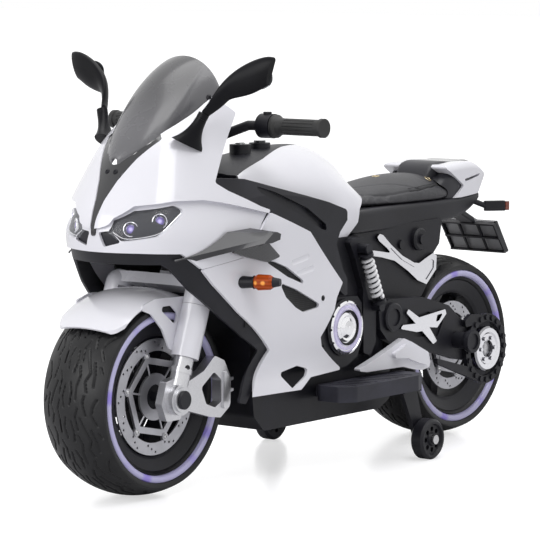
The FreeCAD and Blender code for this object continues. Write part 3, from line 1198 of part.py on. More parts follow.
def build_footboards():
    deck = plan_panel([(BOARD_FRONT, BOARD_IN), (BOARD_FRONT - 4, BOARD_OUT - 18), (BOARD_FRONT - 26, BOARD_OUT),
                       (BOARD_REAR + 30, BOARD_OUT), (BOARD_REAR + 2, BOARD_OUT - 12), (BOARD_REAR, BOARD_IN)],
                      BOARD_TOP - BOARD_T, BOARD_TOP, 12)
    beam = Part.makeBox(170, BOARD_IN - TUB_Y + 10, 18, V(-110, TUB_Y, BOARD_TOP - BOARD_T + 3))
    board = fuse(deck, beam)
    for i in range(9):
        x = BOARD_FRONT - 24 - i * 20
        groove = plan_panel([(x, BOARD_IN + 12), (x - 14, BOARD_OUT - 12), (x - 20, BOARD_OUT - 12), (x - 6, BOARD_IN + 12)],
                            BOARD_TOP - 2.5, BOARD_TOP + 1, 1)
        board = board.cut(groove)
    keep("footboards", pair(board))

    under = BOARD_TOP - BOARD_T
    inner = STAB_Y - STAB_W / 2 - 9
    plate = side_panel([(-104, under), (-146, under), (STAB_X - 14, STAB_R - 4), (STAB_X - 8, STAB_R - 13), (STAB_X + 10, STAB_R - 13),
                        (STAB_X + 16, STAB_R + 8)], inner, inner + 8, 5)
    flange = Part.makeBox(50, 36, 5, V(-150, inner - 20, under - 5))
    bracket = fuse(plate, flange).cut(cross_rod(STAB_X, STAB_R, STAB_BORE + RUN, 0, 300))
    keep("stabiliser_brackets", pair(bracket))
    head_y = STAB_Y + STAB_W / 2 + 1
    bolt = fuse(cross_rod(STAB_X, STAB_R, STAB_BORE, inner - 1, head_y + 3),
                Part.makeBox(14, 5, 14, V(STAB_X - 7, inner - 5, STAB_R - 7)), cross_rod(STAB_X, STAB_R, 8, head_y, head_y + 4))
    keep("stabiliser_bolts", pair(bolt))
    wheel = stabiliser_wheel()
    keep("stabiliser_wheel_left", wheel)
    keep("stabiliser_wheel_right", mirrored(wheel))


def stabiliser_wheel():
    """Small wheel with a rounded tread, a sunk face and a ring of eight round holes."""
    y0, y1 = STAB_Y - STAB_W / 2, STAB_Y + STAB_W / 2
    wheel = lathe([(STAB_BORE + RUN, y0), (STAB_R - 4, y0), (STAB_R, y0 + 4), (STAB_R, y1 - 4), (STAB_R - 4, y1),
                   (STAB_R - 8, y1), (STAB_R - 10, y1 - 4), (12, y1 - 4), (10, y1), (STAB_BORE + RUN, y1)], STAB_X, STAB_R)
    for i in range(8):
        angle = math.pi * i / 4
        wheel = wheel.cut(cross_rod(STAB_X + 18 * math.cos(angle), STAB_R + 18 * math.sin(angle), 4.2, y0 - 1, y1 + 1))
    return wheel


LAMP_DEPTH = 16.0
SIGNAL_BODY = 38.0
SIGNAL_LENS = 8.0


def rear_signal(points, low, high):
    """Flat-sided piece of a rear signal, drawn along its arm and set on the tail's corner."""
    piece = plan_panel(points, low, high, 1.5)
    piece.rotate(V(0, 0, 0), V(0, 0, 1), 141.0)
    piece.translate(V(-480, 68, 411))
    return piece


def build_lamps():
    stalk = rod(V(-462, 54, 421), V(-482, 69.6, 411), 5)
    end = SIGNAL_BODY
    body = rear_signal([(0, -5), (8, -7), (end - 8, -7), (end, -6), (end, 6), (end - 8, 7), (8, 7), (0, 5)], -9, 9)
    body = fuse(stalk, body).cut(NODES["tail_base"]).cut(NODES["tail_cowl"])
    start = end + SLIP
    lens = rear_signal([(start, -6), (start + SIGNAL_LENS, -4), (start + SIGNAL_LENS, 4), (start, 6)], -8, 8)
    face = TAIL_HUMP[-1][0] - SLIP
    lamp = front_panel([(-36, 442), (36, 442), (30, 470), (-30, 470)], face - LAMP_DEPTH, face, 5).cut(
        NODES["tail_pad"]).cut(NODES["tail_cowl"])
    keep("rear_lamps", Part.makeCompound([largest(lamp), lens, mirrored(lens)]))
    front = NODES.pop("signal_stalks").Solids
    keep("signal_stalks", Part.makeCompound(front + [largest(body), mirrored(largest(body))]))


# Node writer

def write_nodes():
    os.makedirs(OUT, exist_ok=True)
    for name, shape in NODES.items():
        shape.exportStep(os.path.join(OUT, name + ".step"))
        solids = shape.Solids
        print(f"{name:22s} solids {len(solids):2d} volume {shape.Volume / 1000:9.2f} cm3 valid {shape.isValid()}")


def main():
    build_wheels()
    build_steering()
    build_fairing()
    build_signals()
    build_mirrors()
    build_tank()
    build_chassis()
    build_seat_and_tail()
    build_trims()
    build_shock()
    build_rear()
    build_footboards()
    keep("winglets", pair(winglet()))
    build_lamps()
    write_nodes()


main()
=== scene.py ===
"""Looks for the kids electric motorbike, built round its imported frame. Metres; X forward, Y left, Z up."""

import math

import bmesh
import bpy
from mathutils import Matrix, Vector
from mathutils.bvhtree import BVHTree


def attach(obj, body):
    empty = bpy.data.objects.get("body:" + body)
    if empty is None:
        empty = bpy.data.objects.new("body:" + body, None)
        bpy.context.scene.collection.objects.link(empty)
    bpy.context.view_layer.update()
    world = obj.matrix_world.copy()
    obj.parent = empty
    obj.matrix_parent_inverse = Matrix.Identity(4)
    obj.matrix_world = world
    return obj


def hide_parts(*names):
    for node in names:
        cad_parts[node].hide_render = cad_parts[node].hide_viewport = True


bl_info = {
    "name": "Kids Electric Motorbike",
    "version": (1, 1, 0),
    "blender": (4, 5, 0),
    "location": "View3D > Sidebar > Motorbike",
    "description": "Dresses a ride-on sport motorbike: finishes, tyres, seat, lamps, small parts and studio",
    "category": "Object",
}

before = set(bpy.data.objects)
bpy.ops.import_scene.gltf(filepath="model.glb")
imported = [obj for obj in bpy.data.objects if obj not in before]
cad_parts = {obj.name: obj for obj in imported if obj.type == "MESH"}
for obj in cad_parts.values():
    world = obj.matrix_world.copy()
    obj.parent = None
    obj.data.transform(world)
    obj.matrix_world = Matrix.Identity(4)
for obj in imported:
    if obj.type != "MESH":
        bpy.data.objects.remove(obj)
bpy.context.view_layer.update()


def tint(name, description, default):
    """Colour property."""
    return bpy.props.FloatVectorProperty(name=name, description=description, subtype="COLOR", size=3,
                                         default=default)


def length(name, description, default):
    """Length property in metres."""
    return bpy.props.FloatProperty(name=name, description=description, unit="LENGTH", precision=4,
                                   default=default)


class MotorbikeLook(bpy.types.PropertyGroup):
    """Sizes and colours that the operators read."""

    shell: tint("Shell", "Glossy white of the fairing, tank, tail and fender", (0.79, 0.786, 0.84))
    black: tint("Black plastic", "Moulded black of the chassis and covers", (0.0075, 0.0075, 0.0105))
    smoke: tint("Smoked screen", "Grey of the windshield's middle panel", (0.125, 0.124, 0.132))
    silver: tint("Silver paint", "Paint on the fork legs and calipers", (0.62, 0.62, 0.64))
    milk: tint("Light rings", "Milky diffuser of the wheels' light rings", (0.44, 0.42, 0.64))
    violet: tint("Lit patches", "Colour of the diodes behind rings and projectors", (0.24, 0.17, 0.66))
    amber: tint("Amber lens", "Signal lenses", (0.32, 0.048, 0.005))
    brass: tint("Eyelets", "Brass of the seat's eyelets", (0.80, 0.66, 0.42))
    wheel_radius: length("Wheel radius", "Outer radius of both road wheels", 0.162)
    half_base: length("Half wheelbase", "From the middle to each wheel's axle", 0.410)
    tread_depth: length("Tread depth", "Depth of the grooves in the tyres", 0.0026)
    groove_half: length("Groove half width", "Half the width of a tread groove", 0.0019)
    tread_repeats: bpy.props.IntProperty(
        name="Tread repeats", description="Pattern repeats round a tyre", default=9)
    seat_pull: length("Seat pull-in", "How far the seat shrinks before it is blown up", 0.0005)
    seat_voxel: length("Seat voxel", "Mesh size of the seat's cover", 0.004)
    seat_swell: length("Seat swell", "Most that a point of the seat may move", 0.005)
    seat_pressure: bpy.props.FloatProperty(
        name="Seat pressure", description="Air pressure in the cover", default=9.0)
    seam_depth: length("Seam depth", "Depth of the seat's sewn seams", 0.0017)


# Shader building

def math_method(operation, swapped=False):
    """Method that feeds a socket, and another value, to a math node."""
    def method(self, other=0.0):
        pair = (other, self) if swapped else (self, other)
        return self.graph.math(operation, *pair)
    return method


class Value:
    """A shader socket with arithmetic."""

    def __init__(self, graph, socket):
        self.graph = graph
        self.socket = socket

    __add__ = math_method("ADD")
    __radd__ = math_method("ADD", swapped=True)
    __sub__ = math_method("SUBTRACT")
    __rsub__ = math_method("SUBTRACT", swapped=True)
    __mul__ = math_method("MULTIPLY")
    __rmul__ = math_method("MULTIPLY", swapped=True)
    __truediv__ = math_method("DIVIDE")
    sin = math_method("SINE")
    abs = math_method("ABSOLUTE")
    sqrt = math_method("SQRT")
    fract = math_method("FRACT")
    above = math_method("GREATER_THAN")

    def smooth(self, low, high):
        """0 below low, 1 above high, with a soft step between."""
        return self.graph.node("ShaderNodeMapRange", {"interpolation_type": "SMOOTHSTEP"},
                               {"Value": self, "From Min": low, "From Max": high})

    def wave(self, rate):
        """Sine between 0 and 1."""
        return (self * rate).sin() * 0.5 + 0.5


class Tree:
    """Node tree that is built by calls."""

    def __init__(self, tree):
        self.tree = tree

    def node(self, kind, settings, inputs, output=0):
        made = self.tree.nodes.new(kind)
        for key, value in settings.items():
            setattr(made, key, value)
        for key, value in inputs.items():
            self.put(value, made.inputs[key])
        return Value(self, made.outputs[output])

    def put(self, value, socket):
        """Links a value to an input, or sets the input to a constant."""
        if isinstance(value, Value):
            self.tree.links.new(value.socket, socket)
        else:
            socket.default_value = value

    def math(self, operation, first, second=0.0):
        return self.node("ShaderNodeMath", {"operation": operation}, {0: first, 1: second})


class Graph(Tree):
    """Node tree of one material, with a Principled shader to feed."""

    def __init__(self, name):
        self.material = bpy.data.materials.new(name)
        self.material.use_nodes = True
        super().__init__(self.material.node_tree)
        self.shader = self.tree.nodes["Principled BSDF"]
        self.place = self.node("ShaderNodeTexCoord", {}, {}, "Object")

    def noise(self, scale, detail=2.0):
        return self.node("ShaderNodeTexNoise", {}, {"Vector": self.place, "Scale": scale, "Detail": detail},
                         "Fac")

    def cells(self, scale):
        return self.node("ShaderNodeTexVoronoi", {}, {"Vector": self.place, "Scale": scale}, "Distance")

    def split(self, vector):
        first = self.node("ShaderNodeSeparateXYZ", {}, {0: vector})
        return [Value(self, out) for out in first.socket.node.outputs]

    def axes(self):
        return self.split(self.place)

    def mix(self, share, first, second):
        tones = [tone if isinstance(tone, Value) else (*tone, 1.0) for tone in (first, second)]
        return self.node("ShaderNodeMix", {"data_type": "RGBA"}, {"Factor": share, 6: tones[0], 7: tones[1]},
                         2)

    def bump(self, height, depth, strength=1.0):
        return self.node("ShaderNodeBump", {}, {"Height": height, "Distance": depth, "Strength": strength})

    def radius(self, centre_x, centre_z):
        """Distance from a line along Y."""
        x, y, z = self.axes()
        dx, dz = x - centre_x, z - centre_z
        return (dx * dx + dz * dz).sqrt()

    def feed(self, **sockets):
        for key, value in sockets.items():
            self.put(value, self.shader.inputs[key.replace("_", " ")])
        return self.material


def rgba(colour):
    return (*colour, 1.0)


def shade(colour, factor):
    return tuple(min(1.0, c * factor) for c in colour)


# Headlamp projectors on the left side: place on the housing, and direction out of it

PROJECTORS = [
    ((0.4841, 0.0579, 0.4366), (0.766, 0.638, 0.106)),
    ((0.4534, 0.0913, 0.4489), (0.745, 0.640, 0.090)),
]

# Places where a finish changes on its node

CREASE_X, CREASE_Y, CREASE_BOW = 0.360, 0.052, 1.51
TWILL_CELL = 0.0052
FIN_INNER, FIN_FRONT, FIN_BACK, FIN_TOP, FIN_SLOPE = 0.1495, 0.352, 0.260, 0.4084, 0.125
DIODES, DIODE_Z = (0.1696, 0.1818), 0.345
PAD_EDGE = -0.398
STEM_LOW, STEM_HIGH = 0.3555, 0.3565
PLATE_EDGE, PLATE_LEAN, PLATE_HALF = (-0.528, 0.378), (0.84, 0.54), 0.056
TREAD_INNER, TREAD_OUTER = 0.143, 0.149


# Finishes

def shell_finish(look):
    """Glossy moulded white with a faint cool drift and a touch of orange peel."""
    g = Graph("shell_white")
    drift = g.noise(5.0, 3.0).smooth(0.35, 0.7)
    tone = g.mix(drift, tuple(look.shell), shade(look.shell, 0.965))
    peel = g.bump(g.noise(420.0), 0.0006, 0.05)
    return g.feed(Base_Color=tone, Roughness=0.16 + 0.06 * g.noise(30.0), Coat_Weight=0.55,
                  Coat_Roughness=0.06, Specular_IOR_Level=0.5, Normal=peel)


def plastic_finish(name, colour, rough, grain=1400.0, depth=0.00025, sheen=0.30):
    """Moulded plastic with a fine spark-eroded grain and softly varied sheen."""
    g = Graph(name)
    patch = g.noise(18.0, 4.0)
    tone = g.mix(patch.smooth(0.3, 0.75), tuple(colour), shade(colour, 1.7))
    surface = g.bump(g.noise(grain, 3.0), depth, 0.35)
    return g.feed(Base_Color=tone, Roughness=rough - 0.08 + 0.16 * patch, Specular_IOR_Level=sheen,
                  Normal=surface)


def gloss_finish(name, colour, coat=0.8):
    """Polished dark plastic under a clear coat."""
    g = Graph(name)
    haze = g.noise(26.0, 3.0)
    return g.feed(Base_Color=g.mix(haze.smooth(0.35, 0.7), tuple(colour), shade(colour, 1.35)),
                  Roughness=0.10 + 0.10 * haze, Coat_Weight=coat, Coat_Roughness=0.04)


def screen_finish(look):
    """Smoked screen with a crease down each side, painted shade on the flank beyond it and painted shade
    towards its top.
    """
    g = Graph("smoked_screen")
    x, y, z = g.axes()
    back = x - CREASE_X
    off = y.abs() - (CREASE_Y - CREASE_BOW * (back * back))
    # Painted shade: the flank beyond the crease is painted darker than the middle.
    flank = off.smooth(-0.001, 0.001)
    haze = g.noise(22.0, 3.0).smooth(0.3, 0.7)
    # Painted shade: the screen is painted darker towards its top.
    deep = z.smooth(0.58, 0.67)
    middle = g.mix(deep, g.mix(haze, tuple(look.smoke), shade(look.smoke, 1.10)), shade(look.smoke, 0.50))
    tone = g.mix(flank, middle, shade(look.smoke, 0.90))
    ridge = 1 - off.abs().smooth(0.0, 0.006)
    return g.feed(Base_Color=tone, Roughness=0.24 + 0.06 * haze, Coat_Weight=0.2, Coat_Roughness=0.08,
                  Normal=g.bump(ridge, 0.0012, 0.6))


def twill(g):
    """Weave mask of a twill print."""
    x, y, z = g.axes()
    across = (x + y * 0.4) / TWILL_CELL
    down = (z + x * 0.35) / TWILL_CELL
    return ((across.fract() - 0.5).abs() - (down.fract() - 0.5).abs()).smooth(-0.06, 0.06)


def winglet_finish(look):
    """Satin black with a twill print on the hanging fin."""
    g = Graph("winglet_black")
    x, y, z = g.axes()
    below = FIN_TOP - FIN_SLOPE * (x - FIN_BACK) - z
    fin = (y.abs() - FIN_INNER).above(0.0) * (FIN_FRONT - x).above(0.0) * below.above(0.0)
    weave = twill(g) * fin
    sheen = g.noise(18.0, 4.0)
    plain = g.mix(sheen.smooth(0.3, 0.75), shade(look.black, 1.1), shade(look.black, 2.0))
    tone = g.mix(weave, plain, (0.075, 0.075, 0.080))
    return g.feed(Base_Color=tone, Roughness=0.36 - 0.10 * weave, Coat_Weight=0.35,
                  Normal=g.bump(weave, 0.0003, 0.3))


def metal_finish(name, colour, rough, metallic=1.0, flake=700.0):
    """Painted or bare metal with a fine sparkle and faint cloudiness."""
    g = Graph(name)
    cloud = g.noise(14.0, 4.0)
    fleck = g.noise(flake, 1.0)
    tone = g.mix(fleck.smooth(0.35, 0.65), shade(colour, 0.95), shade(colour, 1.04))
    return g.feed(Base_Color=tone, Metallic=metallic, Roughness=rough - 0.03 + 0.06 * cloud,
                  Normal=g.bump(cloud, 0.0004, 0.05))


def turned_finish(name, colour, centre_x, look):
    """Sheet steel with fine turned rings about a wheel's axle."""
    g = Graph(name)
    rings = g.radius(centre_x, look.wheel_radius).wave(5200.0)
    stain = g.noise(22.0, 3.0)
    tone = g.mix(stain.smooth(0.3, 0.75), tuple(colour), shade(colour, 0.82))
    return g.feed(Base_Color=tone, Metallic=0.85, Roughness=0.36 + 0.12 * rings,
                  Normal=g.bump(rings, 0.0002, 0.15))


def tyre_finish(name, centre_x, look):
    """Foam rubber: dusty grey tread, darker smooth walls, a fine moulding grain."""
    g = Graph(name)
    tread = g.radius(centre_x, look.wheel_radius).smooth(TREAD_INNER, TREAD_OUTER)
    dust = g.noise(40.0, 6.0).smooth(0.40, 0.80)
    wall = g.mix(dust, (0.006, 0.006, 0.0065), (0.011, 0.011, 0.012))
    crown = g.mix(dust, (0.007, 0.007, 0.008), (0.013, 0.013, 0.014))
    return g.feed(Base_Color=g.mix(tread, wall, crown), Roughness=0.36 + 0.16 * dust, Specular_IOR_Level=0.32,
                  Normal=g.bump(g.noise(900.0, 3.0), 0.0003, 0.25))


def ring_finish(name, centre_x, look):
    """Milky light strip with a brighter violet patch in front of each diode."""
    g = Graph(name)
    x, y, z = g.axes()
    turn = g.math("ARCTAN2", z - look.wheel_radius, x - centre_x)
    patch = turn.wave(14.0) * ((turn * 5.0 + 1.1).sin() * 0.3 + 0.7)
    tone = g.mix(patch.smooth(0.45, 1.0) * 0.8, tuple(look.milk), look.violet)
    return g.feed(Base_Color=tone, Roughness=0.30 + 0.06 * patch, Emission_Color=tone, Emission_Strength=0.12,
                  Coat_Weight=0.3)


def glow_finish(name, colour, power):
    """Diffused light strip: milky, softly uneven."""
    g = Graph(name)
    drift = g.noise(60.0, 2.0).smooth(0.3, 0.7)
    tone = g.mix(drift, shade(colour, 0.90), shade(colour, 1.10))
    return g.feed(Base_Color=tone, Roughness=0.24 + 0.05 * drift, Emission_Color=tone,
                  Emission_Strength=power, Coat_Weight=0.6)


def lens_finish(name, colour, power):
    """Coloured lamp lens with moulded flutes."""
    g = Graph(name)
    x, y, z = g.axes()
    flutes = z.wave(900.0) * ((y * 620.0).sin() * 0.25 + 0.75)
    tone = g.mix(flutes, shade(colour, 0.72), shade(colour, 1.12))
    return g.feed(Base_Color=tone, Roughness=0.12 + 0.08 * flutes, Coat_Weight=0.8, Emission_Color=tone,
                  Emission_Strength=power, Normal=g.bump(flutes, 0.0012, 0.4))


def signal_finish(look):
    """Amber signal lens with two bright diodes behind it."""
    g = Graph("signal_amber")
    x, y, z = g.axes()
    spots = 0.0
    for at in DIODES:
        across, down = y.abs() - at, z - DIODE_Z
        spots = spots + (1 - (across * across + down * down).sqrt().smooth(0.0014, 0.0048))
    flutes = z.wave(1100.0)
    body = g.mix(flutes, shade(look.amber, 0.80), shade(look.amber, 1.15))
    tone = g.mix(spots, body, (0.90, 0.36, 0.07))
    return g.feed(Base_Color=tone, Roughness=0.24 + 0.06 * flutes, Specular_IOR_Level=0.2,
                  Emission_Color=tone, Emission_Strength=0.15, Normal=g.bump(flutes, 0.0008, 0.3))


def clear_finish():
    """Clear lamp cover: nearly invisible but for its reflections."""
    g = Graph("clear_cover")
    edge = g.node("ShaderNodeLayerWeight", {}, {"Blend": 0.22}, "Facing")
    g.material.surface_render_method = "BLENDED"
    return g.feed(Base_Color=rgba((0.80, 0.82, 0.88)), Roughness=0.03 + 0.02 * g.noise(80.0),
                  Alpha=0.04 + 0.16 * edge, Coat_Weight=1.0, Coat_Roughness=0.02)


def projector_finish(look):
    """Projector lens: a painted highlight as a bright, glowing violet spot, in a dark bowl."""
    g = Graph("projector_violet")
    x, y, z = g.axes()
    near = 1.0
    for (px, py, pz), out in PROJECTORS:
        dx, dy, dz = x - px, y.abs() - py, z - pz
        near = g.math("MINIMUM", near, (dx * dx + dy * dy + dz * dz).sqrt())
    # Painted highlight: a bright spot fixed at the middle of each projector's dome.
    painted_highlight = 1 - near.smooth(0.0010, 0.0052)
    halo = 1 - near.smooth(0.0040, 0.0092)
    ring = g.mix(halo, (0.006, 0.006, 0.010), shade(look.violet, 0.55))
    tone = g.mix(painted_highlight, ring, (0.62, 0.55, 0.95))
    return g.feed(Base_Color=tone, Roughness=0.08 + 0.06 * halo, Coat_Weight=0.8, Emission_Color=tone,
                  Emission_Strength=0.22)


def trim_finish():
    """Plated trim with painted light: a painted reflection makes its sideways-facing flats bright, and
    painted shade darkens its edges and grooves.
    """
    g = Graph("trim_plate")
    facing = g.node("ShaderNodeTexCoord", {}, {}, "Normal")
    nx, ny, nz = g.split(facing)
    # Painted reflection and shade: faces turned sideways are painted bright, all others dark.
    flat = ny.abs().smooth(0.60, 0.92)
    cloud = g.noise(14.0, 4.0)
    return g.feed(Base_Color=g.mix(flat, (0.09, 0.09, 0.10), (0.84, 0.84, 0.87)), Metallic=1.0,
                  Roughness=0.10 + 0.08 * cloud)


def pad_finish(look):
    """Padded front face of the tail, running into a polished top."""
    g = Graph("tail_pad_black")
    x, y, z = g.axes()
    top = (PAD_EDGE - x).smooth(0.0, 0.008)
    patch = g.noise(18.0, 4.0)
    tone = g.mix(patch.smooth(0.3, 0.75), shade(look.black, 1.4), shade(look.black, 2.2))
    return g.feed(Base_Color=tone, Roughness=0.40 - 0.28 * top + 0.06 * patch, Coat_Weight=0.5 * top,
                  Normal=g.bump(g.noise(900.0, 3.0), 0.0002, 0.2))


def stem_finish(look):
    """White crown and domes, dark enamel on the stem above them."""
    g = Graph("stem_paint")
    x, y, z = g.axes()
    high = z.smooth(STEM_LOW, STEM_HIGH)
    cloud = g.noise(16.0, 3.0)
    return g.feed(Base_Color=g.mix(high, shade(look.shell, 0.97), (0.03, 0.03, 0.031)),
                  Roughness=0.18 + 0.14 * cloud, Coat_Weight=0.4 - 0.3 * high)


def plate_finish(look):
    """Black frame with paler cells between its ribs: grey plastic, made paler still with painted light."""
    g = Graph("plate_black")
    x, y, z = g.axes()
    depth = PLATE_LEAN[0] * (x - PLATE_EDGE[0]) - PLATE_LEAN[1] * (z - PLATE_EDGE[1])
    sunk = (1 - depth.smooth(0.0012, 0.0022)) * depth.above(-0.003)
    inside = (PLATE_HALF - y.abs()).above(0.0) * sunk
    patch = g.noise(24.0, 4.0)
    # Cell tone: grey plastic, with painted light added to brighten cells that sit in shade.
    cell_grey_and_painted_light = g.mix(patch, (0.250, 0.250, 0.258), (0.330, 0.330, 0.340))
    return g.feed(Base_Color=g.mix(inside, shade(look.black, 1.2), cell_grey_and_painted_light), Roughness=0.40 + 0.14 * patch,
                  Normal=g.bump(g.noise(1200.0, 3.0), 0.00025, 0.3))


def gauze_finish(look):
    """Black woven gauze behind a vent."""
    g = Graph("vent_gauze")
    x, y, z = g.axes()
    weave = x.wave(1900.0) * z.wave(1900.0)
    return g.feed(Base_Color=g.mix(weave, (0.002, 0.002, 0.002), shade(look.black, 0.8)),
                  Roughness=0.7 - 0.2 * weave, Normal=g.bump(weave, 0.0005, 0.5))


def leather_finish():
    """Black vinyl leather: pebbled grain, creases and a soft sheen."""
    g = Graph("seat_vinyl")
    pebble = g.cells(520.0)
    crease = g.noise(60.0, 6.0)
    tone = g.mix(crease.smooth(0.35, 0.75), (0.020, 0.020, 0.024), (0.034, 0.034, 0.039))
    grain = g.bump(pebble + crease * 0.6, 0.0005, 0.4)
    return g.feed(Base_Color=tone, Roughness=0.40 + 0.12 * crease, Specular_IOR_Level=0.5, Normal=grain)


def thread_finish():
    """Dark sewing thread laid in slanted stitches."""
    g = Graph("stitch_thread")
    x, y, z = g.axes()
    twist = (x + y).wave(2600.0)
    return g.feed(Base_Color=g.mix(twist, (0.004, 0.004, 0.004), (0.012, 0.012, 0.013)),
                  Roughness=0.6 + 0.2 * twist, Normal=g.bump(twist, 0.0003, 0.5))


def grip_finish():
    """Soft moulded rubber with fine cross ridges."""
    g = Graph("grip_rubber")
    x, y, z = g.axes()
    ridge = y.wave(2400.0)
    dust = g.noise(50.0, 4.0)
    return g.feed(Base_Color=g.mix(dust.smooth(0.4, 0.8), (0.012, 0.012, 0.012), (0.026, 0.026, 0.027)),
                  Roughness=0.48 + 0.2 * dust, Normal=g.bump(ridge, 0.0004, 0.35))


def mirror_finish():
    """Silvered glass with a faint film."""
    g = Graph("mirror_glass")
    film = g.noise(12.0, 2.0)
    return g.feed(Base_Color=g.mix(film, (0.84, 0.86, 0.88), (0.88, 0.90, 0.92)), Metallic=1.0,
                  Roughness=0.015 + 0.02 * film)


FINISHES = {}


WHEELS = (("front", 1), ("rear", -1))


def make_finishes(look):
    for end, way in WHEELS:
        centre = way * look.half_base
        FINISHES["disc_" + end] = turned_finish("disc_steel_" + end, (0.50, 0.50, 0.53), centre, look)
        FINISHES["tyre_" + end] = tyre_finish("tyre_rubber_" + end, centre, look)
        FINISHES["ring_" + end] = ring_finish("ring_light_" + end, centre, look)
    FINISHES.update({
        "shell": shell_finish(look),
        "black": plastic_finish("black_moulding", look.black, 0.42),
        "satin": plastic_finish("satin_moulding", shade(look.black, 1.3), 0.34, 900.0, 0.0002),
        "deck": plastic_finish("deck_moulding", shade(look.black, 2.6), 0.50),
        "gloss": gloss_finish("black_polish", shade(look.black, 0.8)),
        "screen": screen_finish(look),
        "winglet": winglet_finish(look),
        "silver": metal_finish("silver_paint", look.silver, 0.30, 0.90),
        "chrome": metal_finish("chrome_plate", (0.86, 0.86, 0.88), 0.08, 1.0),
        "steel": metal_finish("zinc_steel", (0.56, 0.56, 0.57), 0.30),
        "brass": metal_finish("brass_eyelet", look.brass, 0.20),
        "glow": glow_finish("engine_light", (0.60, 0.56, 0.78), 0.12),
        "signal": signal_finish(look),
        "tail": lens_finish("tail_lens", (0.20, 0.030, 0.010), 0.05),
        "violet": projector_finish(look),
        "trim": trim_finish(),
        "pad": pad_finish(look),
        "mirror_back": plastic_finish("mirror_moulding", shade(look.black, 0.4), 0.34, 900.0, 0.0002, 0.14),
        "gauze": gauze_finish(look),
        "clear": clear_finish(),
        "stem": stem_finish(look),
        "plate": plate_finish(look),
        "leather": leather_finish(),
        "thread": thread_finish(),
        "grip": grip_finish(),
        "mirror": mirror_finish(),
        "frame": metal_finish("frame_enamel", (0.03, 0.03, 0.03), 0.36, 0.3),
        "coil": metal_finish("coil_white", (0.80, 0.80, 0.82), 0.25, 0.0),
        "pit": plastic_finish("hole_black", (0.002, 0.002, 0.002), 0.75),
        "case": plastic_finish("case_blue", (0.03, 0.04, 0.09), 0.5),
    })


NODE_FINISH = {
    "shell": ["nose_cowl", "fairing_left", "fairing_right", "tank_shell", "tail_cowl", "belly_wings",
              "front_fender"],
    "black": ["chassis_tub", "control_box", "intake_duct", "dash_console", "tail_base", "shock_mounts",
              "engine_covers", "swing_arm", "chain_case", "gearmotor", "stabiliser_brackets", "handlebar",
              "front_axle", "front_rim", "rear_rim", "stabiliser_wheel_left", "stabiliser_wheel_right",
              "signal_stalks"],
    "satin": ["frame_rails", "headlamp_housings"],
    "mirror_back": ["mirror_feet", "mirror_left", "mirror_right"],
    "pad": ["tail_pad"],
    "deck": ["footboards"],
    "gloss": ["nose_trim", "power_button", "direction_switch"],
    "screen": ["windshield"],
    "winglet": ["winglets"],
    "silver": ["fork_legs"],
    "chrome": ["engine_rings"],
    "trim": ["chrome_trims"],
    "steel": ["rear_axle", "stabiliser_bolts"],
    "disc_front": ["front_discs"],
    "disc_rear": ["rear_disc"],
    "tyre_front": ["front_tyre"],
    "tyre_rear": ["rear_tyre"],
    "ring_front": ["front_light_rings"],
    "ring_rear": ["rear_light_rings"],
    "glow": ["engine_lamps"],
    "signal": ["front_signals"],
    "tail": ["rear_lamps"],
    "clear": ["headlamp_lenses"],
    "plate": ["plate_holder"],
    "leather": ["seat_cushion"],
    "grip": ["left_grip", "throttle_grip"],
    "frame": ["steel_frame"],
    "stem": ["steering_stem"],
    "coil": ["shock_springs"],
    "case": ["battery_pack"],
}


# Mesh helpers

def link_mesh(name, bm):
    """Object from a bmesh, which is freed."""
    mesh = bpy.data.meshes.new(name)
    bm.to_mesh(mesh)
    bm.free()
    piece = bpy.data.objects.new(name, mesh)
    bpy.context.scene.collection.objects.link(piece)
    return piece


def dress(piece, body, finish, smooth=35.0):
    """Gives a piece its finish and its body."""
    piece.data.materials.clear()
    piece.data.materials.append(FINISHES[finish])
    for face in piece.data.polygons:
        face.use_smooth = True
    piece.data.set_sharp_from_angle(angle=math.radians(smooth))
    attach(piece, body)
    return piece


def new_piece(name, bm, body, finish, smooth=35.0):
    """Object from a bmesh with its faces turned outwards, dressed and riding on a body."""
    bmesh.ops.recalc_face_normals(bm, faces=bm.faces[:])
    return dress(link_mesh(name, bm), body, finish, smooth)


def apply_modifiers(piece):
    """Replaces a piece's mesh by its evaluated one."""
    made = bpy.data.meshes.new_from_object(piece.evaluated_get(bpy.context.evaluated_depsgraph_get()))
    piece.modifiers.clear()
    piece.data = made


def lathe(bm, profile, centre, axis, steps=32):
    """Spins a profile of (radius, along) round an axis through centre."""
    axis = Vector(axis).normalized()
    side = axis.orthogonal().normalized()
    verts = [bm.verts.new(Vector(centre) + side * r + axis * a) for r, a in profile]
    edges = [bm.edges.new(pair) for pair in zip(verts, verts[1:])]
    bmesh.ops.spin(bm, geom=verts + edges, cent=Vector(centre), axis=axis, dvec=(0, 0, 0), angle=2 * math.pi,
                   steps=steps, use_merge=True, use_normal_flip=False)
    bmesh.ops.remove_doubles(bm, verts=bm.verts[:], dist=1e-6)


BOLT_SUNK = 0.001


def bolt(bm, centre, axis, radius, height):
    """Button-head bolt with a sunk socket, on a thin washer."""
    section = [(1.25, 0.20), (1.0, 0.22), (0.96, 0.62), (0.78, 0.95), (0.50, 1.0), (0.46, 0.45), (0.0, 0.40)]
    profile = [(0.0, -BOLT_SUNK), (radius * 1.25, -BOLT_SUNK)]
    lathe(bm, profile + [(radius * r, height * a) for r, a in section], centre, axis, 20)


